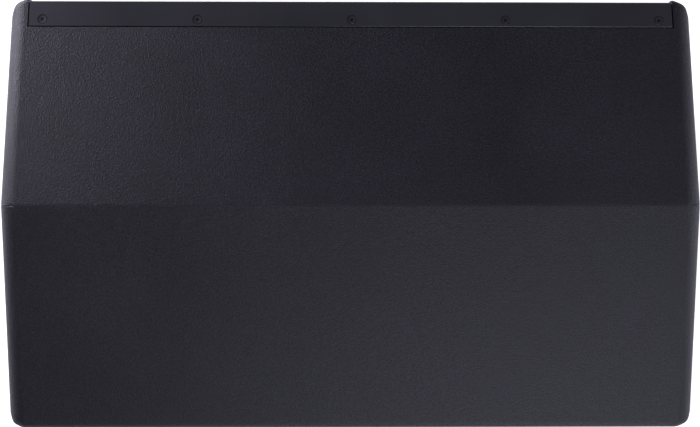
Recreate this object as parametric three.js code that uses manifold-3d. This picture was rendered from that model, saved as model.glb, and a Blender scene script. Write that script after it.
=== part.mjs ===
// A two-way line array loudspeaker module: a tapered plywood cabinet with two 8-inch woofers, a
// compression driver on a vertical waveguide, a perforated steel grille whose flanges are screwed
// over the front edges of the cabinet, flush steel rigging plates and folding handles in the
// sides, and a powered rear panel set back between the side panels.
//
// Millimetres, +Z up. X runs across the width, the grille faces -Y, and the origin is the middle
// of the footprint, at the height of the floor.

import * as THREE from "three";
import { ConvexGeometry } from "three/addons/geometries/ConvexGeometry.js";
import { mergeVertices } from "three/addons/utils/BufferGeometryUtils.js";
import Module from "manifold-3d";

const wasm = await Module();
wasm.setup();

// ---------------------------------------------------------------- driving dimensions

const seatGap = 0.3; // clearance between pieces that seat on each other

// Cabinet: a parallel front zone, then a rear zone whose top and bottom close in by the taper.
const cabinetWidth = 600;
const cabinetHeight = 255;
const frontZone = 183;
const rearZone = 188;
const rearTaper = THREE.MathUtils.degToRad(15);
const boardThickness = 19; // of the sides, the top and the bottom
const baffleThickness = 15;
const rearBoardThickness = 15;
const sideEdgeRadius = 17; // roundover along every edge of the side panels
const frontEdgeRadius = 5;
const ridgeRadius = 6;
const rearEdgeRadius = 5;
const baffleSetback = 24; // from the side panels' front edge to the baffle
const rearRecess = 28; // from the side panels' rear edge to the rear board

// Grille
const grilleSheet = 1.5;
const grilleSetback = 2.5;
const grilleBend = 2.4;
const flangeDepth = 23.3;
const flangeGap = 1.2;
const foamThickness = 6;
const grilleScrewCount = 5;
const grilleScrewInset = 17.2; // from the grille's front face
const grilleScrewEndInset = 11.5;
const screwHeadRadius = 3.9;
const screwShankRadius = 2;
const screwLength = 13;
const screwHeadHeight = 2.2;
const dimpleRadius = 4.3;
const screwHoleRadius = 3.3; // in the board, clear of the lower part of the head

// Woofers
const wooferFlangeRadius = 105;
const wooferWallRadius = 92.5;
const wooferMargin = 0.7; // from the woofer's flange to the side panel
const wooferMotorRadius = 62;
const wooferDepth = 62; // from the baffle to the rear of the basket's arms
const coilRadius = 25.4;
const coneRadius = 76;
const magnetLength = 20;
const plateThickness = 8;
const basketWall = 3;
const basketWindowCount = 6;

// High-frequency section
const hornFlangeWidth = 94;
const hornFlangeHeight = 198;
const hornMouthWidth = 82;
const hornMouthHeight = 184;
const hornWall = 2.5;
const hornLength = 36;
const slotWidth = 16;
const slotHeight = 172;
const waveguideLength = 92;
const throatRadius = 17.8;
const hfRadius = 48;
const hfCoilRadius = 24.4;
const hfRimRadius = 31;
const hfMagnetLength = 18;
const hfPlateThickness = 9;
const hfCoverLength = 26;

// Reflex ports, one on each side of the waveguide
const portWidth = 19;
const portHeight = 190;
const portWall = 2;
const portLength = 118;
const portGap = 2.2; // from the horn's flange to the port

// Side hardware
const plateSheet = 3;
const plateMargin = 24; // from the cabinet's top and bottom to the rigging plate
const plateRim = 8; // of the plate around its pocket
const pocketWidth = 44;
const pocketDepth = 16;
const pocketStandoff = 6; // from the baffle, or the rear board, to a pocket
const bossRadius = 9;
const bossLength = 15;
const pinRadius = 5;
const pinInset = 18; // from the pocket's end to the bore
const pinOverhang = 3;
const pinHeadRadius = 11;
const pinHeadLength = 7.5;
const pinButtonRadius = 3.5;
const pinButtonLength = 2.7;
const dishWidth = 130;
const dishHeight = 88;
const dishDepth = 30;
const dishWall = 2;
const dishRim = 10;
const bailSpan = 110;
const bailThickness = 5;
const bailWidth = 9;
const bailReach = 56; // from the pivot to the grip
const bailPivotDrop = 10; // from the top of the dish to the pivot
const bailInset = 9; // from the side's face to the pivot
const gripRadius = 6;
const pivotRadius = 3;

// Rear panel
const panelSheet = 3;
const panelWidth = 430;
const panelHeight = 116;
const panelBorder = 14; // of the panel that lies on the rear board
const heatsinkWidth = 196;
const heatsinkHeight = 100;
const heatsinkBase = 4;
const finHeight = 17;
const finThickness = 2;
const finCount = 14;
const socketFlangeWidth = 26;
const socketFlangeHeight = 31;
const socketFlange = 2;
const socketBarrelRadius = 11.8;
const signalBoreRadius = 8.6;
const mainsBoreRadius = 9.8;
const socketDepth = 24;
const socketBoreDepth = 18;
const socketSpacing = 40;
const controlSpacing = 36; // between the columns of controls at each end of the panel
const knobRadius = 8;
const knobLength = 13;
const knobShaftRadius = 3;
const rockerWidth = 13;
const rockerHeight = 19;
const rockerTilt = THREE.MathUtils.degToRad(9);
const boardWidth = 360;
const boardHeight = 84;
const boardSheet = 1.6;
const standoffLength = 22;
const standoffInset = 8;

// ---------------------------------------------------------------- places worked out from them

const yFront = -(frontZone + rearZone) / 2;
const yRidge = yFront + frontZone;
const yRear = yFront + frontZone + rearZone;
const zMiddle = cabinetHeight / 2;
const rearDrop = rearZone * Math.tan(rearTaper);
const halfWidth = cabinetWidth / 2;
const innerHalf = halfWidth - boardThickness;
const boardHalf = innerHalf - seatGap;
const yBaffle = yFront + baffleSetback;
const yBaffleBack = yBaffle + baffleThickness;
const yRearBoard = yRear - rearRecess; // the rear board's outer face
const yRearBoardFront = yRearBoard - rearBoardThickness;
const grilleHalf = innerHalf - flangeGap;
const yGrille = yFront + grilleSetback;
const wooferX = innerHalf - wooferMargin - wooferFlangeRadius;
const portX = hornFlangeWidth / 2 + portGap + portWidth / 2;
const waveguideEnd = hornLength + waveguideLength;
const socketX = (panelWidth + heatsinkWidth) / 4; // the middle of the space beside the heatsink
const socketPlaces = [
  [-socketX - controlSpacing / 2, zMiddle + socketSpacing / 2],
  [-socketX - controlSpacing / 2, zMiddle - socketSpacing / 2],
  [socketX + controlSpacing / 2, zMiddle],
];
const knobX = -socketX + controlSpacing / 2;
const knobZ = zMiddle;
const rockerX = socketX - controlSpacing / 2;
const rockerZ = zMiddle;

// ---------------------------------------------------------------- finishes

const finish = (color, roughness, metalness) =>
  new THREE.MeshStandardMaterial({ color, roughness, metalness });
const texturedPaint = finish(0x25252b, 0.75, 0);
const coatedSteel = finish(0x2b2b30, 0.5, 0.6);
const blackSteel = finish(0x1a1a1d, 0.4, 0.8);
const zincSteel = finish(0xb9bcc2, 0.35, 0.9);
const castMetal = finish(0x303033, 0.55, 0.6);
const paperCone = finish(0x1c1c1e, 0.9, 0);
const softRubber = finish(0x141416, 0.85, 0);
const spiderCloth = finish(0xc9a64c, 0.95, 0);
const copperWire = finish(0xb5673a, 0.4, 0.8);
const ferrite = finish(0x38383b, 0.6, 0.2);
const mouldedPlastic = finish(0x1b1b1e, 0.55, 0);
const openCellFoam = finish(0x101012, 0.95, 0);
const anodised = finish(0x222226, 0.45, 0.7);
const circuitGreen = finish(0x1f5a3a, 0.6, 0);

// ---------------------------------------------------------------- solids from three.js geometry

// A closed geometry as a solid that can be joined and cut, with its faces turned outwards.
function solidOf(geometry) {
  const bare = geometry.index ? geometry.toNonIndexed() : geometry.clone();
  for (const extra of Object.keys(bare.attributes)) {
    if (extra !== "position") bare.deleteAttribute(extra);
  }
  const merged = mergeVertices(bare, 1e-3);
  const corners = merged.index.array;
  const kept = [];
  for (let i = 0; i < corners.length; i += 3) {
    const [a, b, c] = corners.slice(i, i + 3);
    if (a !== b && b !== c && c !== a) kept.push(a, b, c);
  }
  const vertProperties = new Float32Array(merged.attributes.position.array);
  const made = (order) =>
    new wasm.Manifold(
      new wasm.Mesh({ numProp: 3, vertProperties, triVerts: new Uint32Array(order) }),
    );
  const solid = made(kept);
  return solid.volume() > 0 ? solid : made(kept.reverse());
}

const joined = (...solids) => solids.reduce((sum, next) => sum.add(next));
const cutBy = (solid, ...tools) => tools.reduce((rest, tool) => rest.subtract(tool), solid);

// The same solid on the other side of the middle plane.
function mirrored(solid) {
  const data = solid.getMesh();
  const vertProperties = data.vertProperties.map((value, i) => (i % 3 === 0 ? -value : value));
  const triVerts = data.triVerts.slice().reverse();
  return new wasm.Manifold(new wasm.Mesh({ numProp: 3, vertProperties, triVerts }));
}

// A box between two opposite corners.
function block([x0, y0, z0], [x1, y1, z1]) {
  const geometry = new THREE.BoxGeometry(x1 - x0, y1 - y0, z1 - z0);
  geometry.translate((x0 + x1) / 2, (y0 + y1) / 2, (z0 + z1) / 2);
  return solidOf(geometry);
}

// A round bar between two points.
function rod(radius, from, to, segments = 16) {
  const start = new THREE.Vector3(...from);
  const along = new THREE.Vector3(...to).sub(start);
  const geometry = new THREE.CylinderGeometry(radius, radius, along.length(), segments);
  const up = new THREE.Vector3(0, 1, 0);
  const turn = new THREE.Quaternion().setFromUnitVectors(up, along.clone().normalize());
  geometry.applyQuaternion(turn);
  geometry.translate(...start.addScaledVector(along, 0.5).toArray());
  return solidOf(geometry);
}

// A solid turned about the Y axis from a profile of [radius, y] points. A profile that doesn't
// reach the axis is a ring, and closes on itself.
function turned(profile, segments = 20) {
  const points = profile.map(([radius, y]) => new THREE.Vector2(radius, y));
  const onAxis = profile[0][0] === 0 && profile[profile.length - 1][0] === 0;
  if (!onAxis) points.push(points[0].clone());
  return solidOf(new THREE.LatheGeometry(points, segments));
}

// Turns a shape drawn in a plane, and extruded along its normal, to face along another axis.
const facing = {
  x: new THREE.Matrix4().makeBasis(
    new THREE.Vector3(0, 1, 0),
    new THREE.Vector3(0, 0, 1),
    new THREE.Vector3(1, 0, 0),
  ), // drawn in Y and Z
  y: new THREE.Matrix4().makeBasis(
    new THREE.Vector3(0, 0, 1),
    new THREE.Vector3(1, 0, 0),
    new THREE.Vector3(0, 1, 0),
  ), // drawn in Z and X
};

// A shape extruded from one coordinate to another along the axis that it faces.
function prism(axis, shape, from, to) {
  const settings = { depth: to - from, bevelEnabled: false, curveSegments: 2 };
  const geometry = new THREE.ExtrudeGeometry(shape, settings);
  geometry.translate(0, 0, from);
  geometry.applyMatrix4(facing[axis]);
  return solidOf(geometry);
}

// A polygon with each corner rounded.
function roundedShape(corners, radius) {
  const shape = new THREE.Shape();
  const points = corners.map(([u, v]) => new THREE.Vector2(u, v));
  points.forEach((corner, i) => {
    const before = points[(i + points.length - 1) % points.length].clone().sub(corner);
    const after = points[(i + 1) % points.length].clone().sub(corner);
    const start = corner.clone().addScaledVector(before.normalize(), radius);
    const end = corner.clone().addScaledVector(after.normalize(), radius);
    if (i === 0) shape.moveTo(start.x, start.y);
    else shape.lineTo(start.x, start.y);
    shape.quadraticCurveTo(corner.x, corner.y, end.x, end.y);
  });
  shape.closePath();
  return shape;
}

const rectangle = (uMiddle, vMiddle, width, height) => [
  [uMiddle - width / 2, vMiddle - height / 2],
  [uMiddle + width / 2, vMiddle - height / 2],
  [uMiddle + width / 2, vMiddle + height / 2],
  [uMiddle - width / 2, vMiddle + height / 2],
];

// A straight-sided duct between two outlines of points, as the convex shape around both.
const loft = (...points) =>
  solidOf(new ConvexGeometry(points.map((point) => new THREE.Vector3(...point))));

// ---------------------------------------------------------------- the scene graph

const speaker = new THREE.Group();

function place(group, name, solid, material) {
  const data = solid.getMesh();
  const geometry = new THREE.BufferGeometry();
  geometry.setAttribute("position", new THREE.BufferAttribute(data.vertProperties, 3));
  geometry.setIndex(new THREE.BufferAttribute(data.triVerts, 1));
  geometry.computeVertexNormals();
  const mesh = new THREE.Mesh(geometry, material);
  mesh.name = name;
  group.add(mesh);
  return mesh;
}

// ---------------------------------------------------------------- cabinet

// The cabinet's outline seen from the side, as [y, z, outward normal of the edge that follows].
const outline = [
  [yFront, 0, -90],
  [yRidge, 0, -90 + THREE.MathUtils.radToDeg(rearTaper)],
  [yRear, rearDrop, 0],
  [yRear, cabinetHeight - rearDrop, 90 - THREE.MathUtils.radToDeg(rearTaper)],
  [yRidge, cabinetHeight, 90],
  [yFront, cabinetHeight, 180],
];
const cornerRadii = [
  frontEdgeRadius,
  ridgeRadius,
  rearEdgeRadius,
  rearEdgeRadius,
  ridgeRadius,
  frontEdgeRadius,
];

// One corner of the outline moved inwards, and rounded: [y, z] points along its arc.
function outlineCorner(i, inset, radius, steps) {
  const [y, z, after] = outline[i];
  let before = outline[(i + outline.length - 1) % outline.length][2];
  if (before > after) before -= 360;
  const middle = THREE.MathUtils.degToRad((before + after) / 2);
  const half = THREE.MathUtils.degToRad((after - before) / 2);
  const reach = (inset + radius) / Math.cos(half);
  const arc = [];
  for (let k = 0; k <= steps; k++) {
    const angle = THREE.MathUtils.degToRad(before + ((after - before) * k) / steps);
    arc.push([
      y - reach * Math.cos(middle) + radius * Math.cos(angle),
      z - reach * Math.sin(middle) + radius * Math.sin(angle),
    ]);
  }
  return arc;
}

// The cabinet's outer form, with every edge of its sides rounded over.
function envelope() {
  const points = [];
  const sideSteps = 4;
  for (let k = 0; k <= sideSteps; k++) {
    const beta = ((Math.PI / 2) * k) / sideSteps;
    const x = halfWidth - sideEdgeRadius * (1 - Math.sin(beta));
    const inset = sideEdgeRadius * (1 - Math.cos(beta));
    outline.forEach((_, i) => {
      const radius = Math.max(cornerRadii[i] - inset, 0.5);
      for (const [y, z] of outlineCorner(i, inset, radius, 3)) points.push([x, y, z], [-x, y, z]);
    });
  }
  return loft(...points);
}

const outerForm = envelope();

// The rear zone's outer and inner faces, at a depth y: their height above the cabinet's middle.
const outerHeightAt = (y) => zMiddle - (y - yRidge) * Math.tan(rearTaper);
const innerHeightAt = (y) => outerHeightAt(y) - boardThickness / Math.cos(rearTaper);

const flipped = (corners) => corners.map(([y, z]) => [y, cabinetHeight - z]).reverse();

// Screw centres along a grille flange.
const grilleScrewX = Array.from({ length: grilleScrewCount }, (_, i) => {
  const reach = grilleHalf - grilleScrewEndInset;
  return -reach + (2 * reach * i) / (grilleScrewCount - 1);
});
const grilleScrewY = yGrille + grilleScrewInset;

// A board of the front zone: rebated for the grille's flange, drilled for its screws, and mitred
// to the rear zone's board at the ridge.
function frontZoneBoard(top) {
  const mitre = boardThickness * Math.tan(rearTaper / 2);
  const front = yGrille + grilleSheet + seatGap;
  const z = cabinetHeight;
  let corners = [
    [front, z - boardThickness],
    [yRidge - mitre - seatGap / 2, z - boardThickness],
    [yRidge - seatGap / 2, z],
    [front, z],
  ];
  if (!top) corners = flipped(corners);
  const face = top ? cabinetHeight : 0;
  const inwards = top ? -1 : 1;
  const board = prism("x", new THREE.Shape(corners.map((c) => new THREE.Vector2(...c))),
    -boardHalf, boardHalf).intersect(outerForm);
  const rebate = [face - inwards, face + inwards * (grilleSheet + seatGap)].sort((a, b) => a - b);
  const tools = [
    block([-halfWidth, yFront, rebate[0]], [halfWidth, yGrille + flangeDepth + flangeGap, rebate[1]]),
  ];
  for (const x of grilleScrewX) {
    const at = (z) => [x, grilleScrewY, z];
    tools.push(rod(screwHoleRadius, at(face), at(face + inwards * (screwLength + 1)), 10));
  }
  return cutBy(board, ...tools);
}

// A board of the rear zone, from the ridge to the rear edge.
function rearZoneBoard(top) {
  const mitre = boardThickness * Math.tan(rearTaper / 2);
  const slope = boardThickness / Math.cos(rearTaper);
  const z = cabinetHeight;
  let corners = [
    [yRidge + seatGap / 2, z],
    [yRidge - mitre + seatGap / 2, z - boardThickness],
    [yRear, z - rearDrop - slope],
    [yRear, z - rearDrop],
  ];
  if (!top) corners = flipped(corners);
  const shape = new THREE.Shape(corners.map((c) => new THREE.Vector2(...c)));
  return prism("x", shape, -boardHalf, boardHalf).intersect(outerForm);
}

// The baffle, cut for the woofers, the waveguide and the two ports.
function baffleBoard() {
  const low = boardThickness + seatGap;
  const board = block([-boardHalf, yBaffle, low], [boardHalf, yBaffleBack, cabinetHeight - low]);
  const hornX = hornMouthWidth / 2 + hornWall + 0.5;
  const hornZ = hornMouthHeight / 2 + hornWall + 0.5;
  const tools = [
    block(
      [-hornX, yBaffle - 1, zMiddle - hornZ],
      [hornX, yBaffleBack + 1, zMiddle + hornZ],
    ),
  ];
  for (const side of [-1, 1]) {
    const x = side * wooferX;
    tools.push(rod(wooferWallRadius + 0.5, [x, yBaffle - 1, zMiddle], [x, yBaffleBack + 1, zMiddle], 32));
    const shape = rectangle(zMiddle, side * portX, portHeight + 2 * seatGap, portWidth + 2 * seatGap);
    tools.push(prism("y", roundedShape(shape, 3), yBaffle - 1, yBaffleBack + 1));
  }
  return cutBy(board, ...tools);
}

// The rear board, bevelled to the taper and cut for the powered panel's works.
function rearBoard() {
  const fit = seatGap / Math.cos(rearTaper);
  const back = innerHeightAt(yRearBoard) - fit;
  const front = innerHeightAt(yRearBoardFront) - fit;
  const corners = [
    [yRearBoardFront, zMiddle - front],
    [yRearBoard, zMiddle - back],
    [yRearBoard, zMiddle + back],
    [yRearBoardFront, zMiddle + front],
  ];
  const shape = new THREE.Shape(corners.map((c) => new THREE.Vector2(...c)));
  const opening = rectangle(
    zMiddle, 0, panelHeight - 2 * panelBorder, panelWidth - 2 * panelBorder);
  return cutBy(
    prism("x", shape, -boardHalf, boardHalf),
    prism("y", roundedShape(opening, 6), yRearBoardFront - 1, yRearBoard + 1),
  );
}

place(speaker, "top_front_board", frontZoneBoard(true), texturedPaint);
place(speaker, "bottom_front_board", frontZoneBoard(false), texturedPaint);
place(speaker, "top_rear_board", rearZoneBoard(true), texturedPaint);
place(speaker, "bottom_rear_board", rearZoneBoard(false), texturedPaint);
place(speaker, "baffle_board", baffleBoard(), texturedPaint);
place(speaker, "rear_board", rearBoard(), texturedPaint);

// ---------------------------------------------------------------- grille

// The grille sheet, bent back over the top and the bottom, with a dimpled hole for each screw.
function grille() {
  const back = yGrille + grilleSheet;
  const end = yGrille + flangeDepth;
  const top = cabinetHeight;
  const shape = new THREE.Shape();
  shape.moveTo(end, 0);
  shape.lineTo(end, grilleSheet);
  shape.lineTo(back, grilleSheet);
  shape.lineTo(back, top - grilleSheet);
  shape.lineTo(end, top - grilleSheet);
  shape.lineTo(end, top);
  shape.lineTo(yGrille + grilleBend, top);
  shape.quadraticCurveTo(yGrille, top, yGrille, top - grilleBend);
  shape.lineTo(yGrille, grilleBend);
  shape.quadraticCurveTo(yGrille, 0, yGrille + grilleBend, 0);
  shape.closePath();
  const holes = [];
  for (const x of grilleScrewX) {
    for (const [face, inwards] of [[top, -1], [0, 1]]) {
      const dimple = new THREE.CylinderGeometry(
        inwards < 0 ? dimpleRadius + 0.5 : screwShankRadius + 0.5,
        inwards < 0 ? screwShankRadius + 0.5 : dimpleRadius + 0.5,
        grilleSheet + 1, 12);
      dimple.rotateX(Math.PI / 2);
      dimple.translate(x, grilleScrewY, face + (inwards * grilleSheet) / 2);
      holes.push(solidOf(dimple));
    }
  }
  return cutBy(prism("x", shape, -grilleHalf, grilleHalf), ...holes);
}

function foamPad() {
  const y = yGrille + grilleSheet + seatGap;
  const low = boardThickness + seatGap;
  return block([-boardHalf, y, low], [boardHalf, y + foamThickness, cabinetHeight - low]);
}

// A countersunk cross-head screw, head up, its top face at the origin.
function grilleScrew() {
  const body = turned([
    [0, 0],
    [screwHeadRadius, 0],
    [screwHeadRadius - 0.2, -0.3],
    [screwShankRadius, -screwHeadHeight],
    [screwShankRadius, -screwLength + 3],
    [0, -screwLength],
  ], 12);
  const slot = screwHeadRadius * 0.62;
  const wide = 0.45;
  const deep = 1.4;
  return cutBy(
    body,
    block([-slot, -deep, -wide], [slot, 1, wide]),
    block([-wide, -deep, -slot], [wide, 1, slot]),
  );
}

place(speaker, "grille", grille(), coatedSteel);
place(speaker, "grille_foam", foamPad(), openCellFoam);
grilleScrewX.forEach((x, i) => {
  const screw = place(speaker, `grille_screw_${i + 1}`, grilleScrew(), blackSteel);
  screw.rotation.x = Math.PI / 2;
  screw.position.set(x, grilleScrewY, cabinetHeight - seatGap);
});

// ---------------------------------------------------------------- woofers

const gap = seatGap;
const basketRear = wooferDepth + 8;
const motorFront = basketRear + gap;
const magnetFront = motorFront + plateThickness + gap;
const yokeFront = magnetFront + magnetLength + gap;
const coneDepth = 30;
const ledgeY = -3; // the face that the surround is glued to
const spiderY = wooferDepth - 0.5;

// Each profile is [radius, distance behind the baffle's face].
function basket() {
  const w = basketWall;
  const armEnd = wooferMotorRadius - 6;
  const frame = turned([
    [wooferFlangeRadius, -6],
    [wooferFlangeRadius, -gap],
    [wooferWallRadius, -gap],
    [wooferWallRadius, 10],
    [armEnd, wooferDepth],
    [armEnd, basketRear],
    [armEnd - 10, basketRear],
    [armEnd - 10, basketRear - w],
    [armEnd - 4, basketRear - w],
    [armEnd - 4, wooferDepth - 1],
    [wooferWallRadius - w, 9],
    [wooferWallRadius - w, ledgeY + w],
    [coneRadius + 9, ledgeY + w - 0.4],
    [coneRadius + 9, ledgeY],
    [wooferWallRadius, ledgeY],
    [wooferWallRadius + 1, -6],
  ]);
  const windows = [];
  for (let i = 0; i < basketWindowCount; i++) {
    const shape = new THREE.Shape();
    const near = armEnd + 3;
    shape.moveTo(near, -12);
    shape.lineTo(wooferWallRadius + 20, -26);
    shape.lineTo(wooferWallRadius + 20, 26);
    shape.lineTo(near, 12);
    shape.closePath();
    const cutter = new THREE.ExtrudeGeometry(shape, { depth: wooferDepth - 18, bevelEnabled: false });
    cutter.rotateX(-Math.PI / 2); // the drawing's depth now runs along Y
    cutter.translate(0, 14, 0);
    cutter.rotateY((2 * Math.PI * i) / basketWindowCount);
    windows.push(solidOf(cutter));
  }
  return cutBy(frame, ...windows);
}

// The half-roll rubber edge, from the cone's rim to the basket's ledge.
function surround() {
  const inner = coneRadius + 0.5;
  const outer = coneRadius + 9.5;
  const middle = (inner + outer) / 2;
  const roll = (outer - inner) / 2;
  const base = ledgeY - gap - 1;
  const front = [];
  const back = [];
  const steps = 4;
  for (let i = 0; i <= steps; i++) {
    const angle = (Math.PI * i) / steps;
    front.push([middle - roll * Math.cos(angle), base - roll * Math.sin(angle)]);
    back.unshift([middle - (roll - 1) * Math.cos(angle), base + 1 - roll * Math.sin(angle)]);
  }
  return turned([
    [inner - 4, base],
    ...front,
    [wooferWallRadius - 0.5, base],
    [wooferWallRadius - 0.5, base + 1],
    ...back,
    [inner - 4, base + 1],
  ]);
}

// The paper cone, glued behind the surround's inner lip and down to the coil former.
function cone() {
  const rim = ledgeY;
  return turned([
    [coneRadius, rim],
    [coneRadius - 4, rim],
    [coilRadius + 1.2, coneDepth],
    [coilRadius + 1.2, coneDepth + 3],
    [coilRadius + 2.4, coneDepth + 3],
    [coneRadius - 3, rim + 1.6],
    [coneRadius, rim + 1.2],
  ]);
}

// The dust cap, a shallow dome over the coil.
function dustCap() {
  const rim = 34;
  const slope = (coneDepth - ledgeY) / (coneRadius - 4 - coilRadius - 1.2);
  const seat = coneDepth - (rim - coilRadius - 1.2) * slope;
  const shell = 1;
  return turned([
    [0, seat - 9],
    [rim * 0.5, seat - 7.2],
    [rim * 0.85, seat - 3.4],
    [rim - 0.4, seat - 0.9],
    [rim - 1.6, seat - 0.9],
    [rim * 0.8, seat - 2.4],
    [rim * 0.5, seat - 7.2 + shell],
    [0, seat - 9 + shell],
  ]);
}

// The coil former and its winding, hanging in the magnetic gap.
function voiceCoil() {
  const end = motorFront + plateThickness + 4;
  return turned([
    [coilRadius, coneDepth - 2],
    [coilRadius, end],
    [coilRadius + 1.6, end],
    [coilRadius + 1.6, end - 15],
    [coilRadius + 0.8, end - 15],
    [coilRadius + 0.8, coneDepth - 2],
  ]);
}

// The corrugated cloth spider that centres the former.
function spider() {
  const inner = coilRadius + 0.8 + gap;
  const outer = wooferMotorRadius - 10.5;
  const front = [];
  const back = [];
  const waves = 4;
  for (let i = 0; i <= waves; i++) {
    const radius = inner + ((outer - inner) * i) / waves;
    const lift = i % 2 ? -1.4 : 1.4;
    front.push([radius, spiderY + lift]);
    back.unshift([radius, spiderY + lift + 1]);
  }
  return turned([...front, ...back]);
}

const topPlate = () =>
  turned([
    [wooferMotorRadius - 4, motorFront],
    [wooferMotorRadius - 4, motorFront + plateThickness],
    [coilRadius + 2.4, motorFront + plateThickness],
    [coilRadius + 2.4, motorFront],
  ]);

const magnetRing = () =>
  turned([
    [wooferMotorRadius, magnetFront],
    [wooferMotorRadius, magnetFront + magnetLength],
    [coilRadius + 7, magnetFront + magnetLength],
    [coilRadius + 7, magnetFront],
  ]);

// The back plate and the pole piece, with a vent through the middle.
const yoke = () =>
  turned([
    [wooferMotorRadius - 4, yokeFront],
    [wooferMotorRadius - 4, yokeFront + plateThickness - 2],
    [wooferMotorRadius - 7, yokeFront + plateThickness],
    [6, yokeFront + plateThickness],
    [6, motorFront - 1],
    [coilRadius - 0.8, motorFront - 1],
    [coilRadius - 0.8, yokeFront],
  ]);

function woofer(side, suffix) {
  const group = new THREE.Group();
  group.position.set(side * wooferX, yBaffle, zMiddle);
  place(group, `woofer_basket_${suffix}`, basket(), castMetal);
  place(group, `woofer_surround_${suffix}`, surround(), softRubber);
  place(group, `woofer_cone_${suffix}`, cone(), paperCone);
  place(group, `woofer_dust_cap_${suffix}`, dustCap(), paperCone);
  place(group, `woofer_voice_coil_${suffix}`, voiceCoil(), copperWire);
  place(group, `woofer_spider_${suffix}`, spider(), spiderCloth);
  place(group, `woofer_top_plate_${suffix}`, topPlate(), zincSteel);
  place(group, `woofer_magnet_${suffix}`, magnetRing(), ferrite);
  place(group, `woofer_yoke_${suffix}`, yoke(), zincSteel);
  speaker.add(group);
}
woofer(-1, "left");
woofer(1, "right");

// ---------------------------------------------------------------- high-frequency section

const rectangleAt = (y, width, height) => [
  [-width / 2, y, -height / 2],
  [width / 2, y, -height / 2],
  [width / 2, y, height / 2],
  [-width / 2, y, height / 2],
];

function circleAt(y, radius) {
  const corners = 16;
  return Array.from({ length: corners }, (_, i) => {
    const angle = (2 * Math.PI * i) / corners;
    return [radius * Math.cos(angle), y, radius * Math.sin(angle)];
  });
}

// The moulded horn and the waveguide behind it, which runs from a tall slot to a round throat.
function waveguide() {
  const grow = 2 * hornWall;
  const horn = loft(
    ...rectangleAt(0, hornMouthWidth + grow, hornMouthHeight + grow),
    ...rectangleAt(hornLength, slotWidth + grow, slotHeight + grow),
  );
  const guide = loft(
    ...rectangleAt(hornLength, slotWidth + grow, slotHeight + grow),
    ...circleAt(waveguideEnd - hornWall, throatRadius + hornWall),
  );
  const flange = block(
    [-hornFlangeWidth / 2, -hornWall - gap, -hornFlangeHeight / 2],
    [hornFlangeWidth / 2, -gap, hornFlangeHeight / 2],
  );
  const seat = rod(hfRadius - 8, [0, waveguideEnd - hornWall, 0], [0, waveguideEnd, 0]);
  const lip = block(
    [-(hornMouthWidth + grow) / 2, -gap - 0.1, -(hornMouthHeight + grow) / 2],
    [(hornMouthWidth + grow) / 2, 0.1, (hornMouthHeight + grow) / 2],
  );
  const inHorn = loft(
    ...rectangleAt(-hornWall - 1, hornMouthWidth, hornMouthHeight),
    ...rectangleAt(hornLength + 0.1, slotWidth, slotHeight),
  );
  const inGuide = loft(
    ...rectangleAt(hornLength, slotWidth, slotHeight),
    ...circleAt(waveguideEnd - hornWall, throatRadius),
  );
  const throat = rod(throatRadius, [0, waveguideEnd - hornWall - 0.1, 0], [0, waveguideEnd + 1, 0]);
  return cutBy(joined(horn, guide, flange, seat, lip), inHorn, inGuide, throat);
}

const hfPlateFront = waveguideEnd + gap;
const hfMagnetFront = hfPlateFront + hfPlateThickness + gap;
const hfCoverFront = hfMagnetFront + hfMagnetLength + gap;

// The front plate carries the throat and the pole, and the gap that the coil hangs in.
const hfFrontPlate = () =>
  turned([
    [hfRadius, hfPlateFront],
    [hfRadius, hfPlateFront + hfPlateThickness],
    [hfCoilRadius + 3.5, hfPlateFront + hfPlateThickness],
    [throatRadius + 1.5, hfPlateFront + 2.5],
    [throatRadius + 0.4, hfPlateFront],
  ]);

const hfMagnet = () =>
  turned([
    [hfRadius - 2, hfMagnetFront],
    [hfRadius - 2, hfMagnetFront + hfMagnetLength],
    [hfCoilRadius + 5, hfMagnetFront + hfMagnetLength],
    [hfCoilRadius + 5, hfMagnetFront],
  ]);

// The dome diaphragm with its coil, its rim clamped between the magnet and the cover.
function hfDiaphragm() {
  const rim = hfCoverFront + 0.4;
  return turned([
    [0, rim + 9],
    [hfCoilRadius * 0.6, rim + 7],
    [hfCoilRadius, rim + 1],
    [hfCoilRadius, rim - 8],
    [hfCoilRadius + 0.8, rim - 8],
    [hfCoilRadius + 0.8, rim],
    [hfRimRadius, rim],
    [hfRimRadius, rim + 0.8],
    [hfCoilRadius + 0.8, rim + 1.2],
    [hfCoilRadius * 0.6, rim + 7.8],
    [0, rim + 9.8],
  ]);
}

const hfCover = () =>
  turned([
    [0, hfCoverFront + hfCoverLength],
    [hfRadius - 10, hfCoverFront + hfCoverLength],
    [hfRadius - 4, hfCoverFront + hfCoverLength - 6],
    [hfRadius - 4, hfCoverFront],
    [hfRimRadius + 0.5, hfCoverFront],
    [hfRimRadius + 0.5, hfCoverFront + 4],
    [hfRadius - 12, hfCoverFront + 5],
    [hfRadius - 12, hfCoverFront + hfCoverLength - 3],
    [0, hfCoverFront + hfCoverLength - 3],
  ]);

// A rectangular duct open at both ends, let into the baffle.
function portDuct() {
  const wall = 2 * portWall;
  const outer = roundedShape(rectangle(0, 0, portHeight, portWidth), 3);
  const inner = roundedShape(rectangle(0, 0, portHeight - wall, portWidth - wall), 1.5);
  return cutBy(prism("y", outer, 0, portLength), prism("y", inner, -1, portLength + 1));
}

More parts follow.
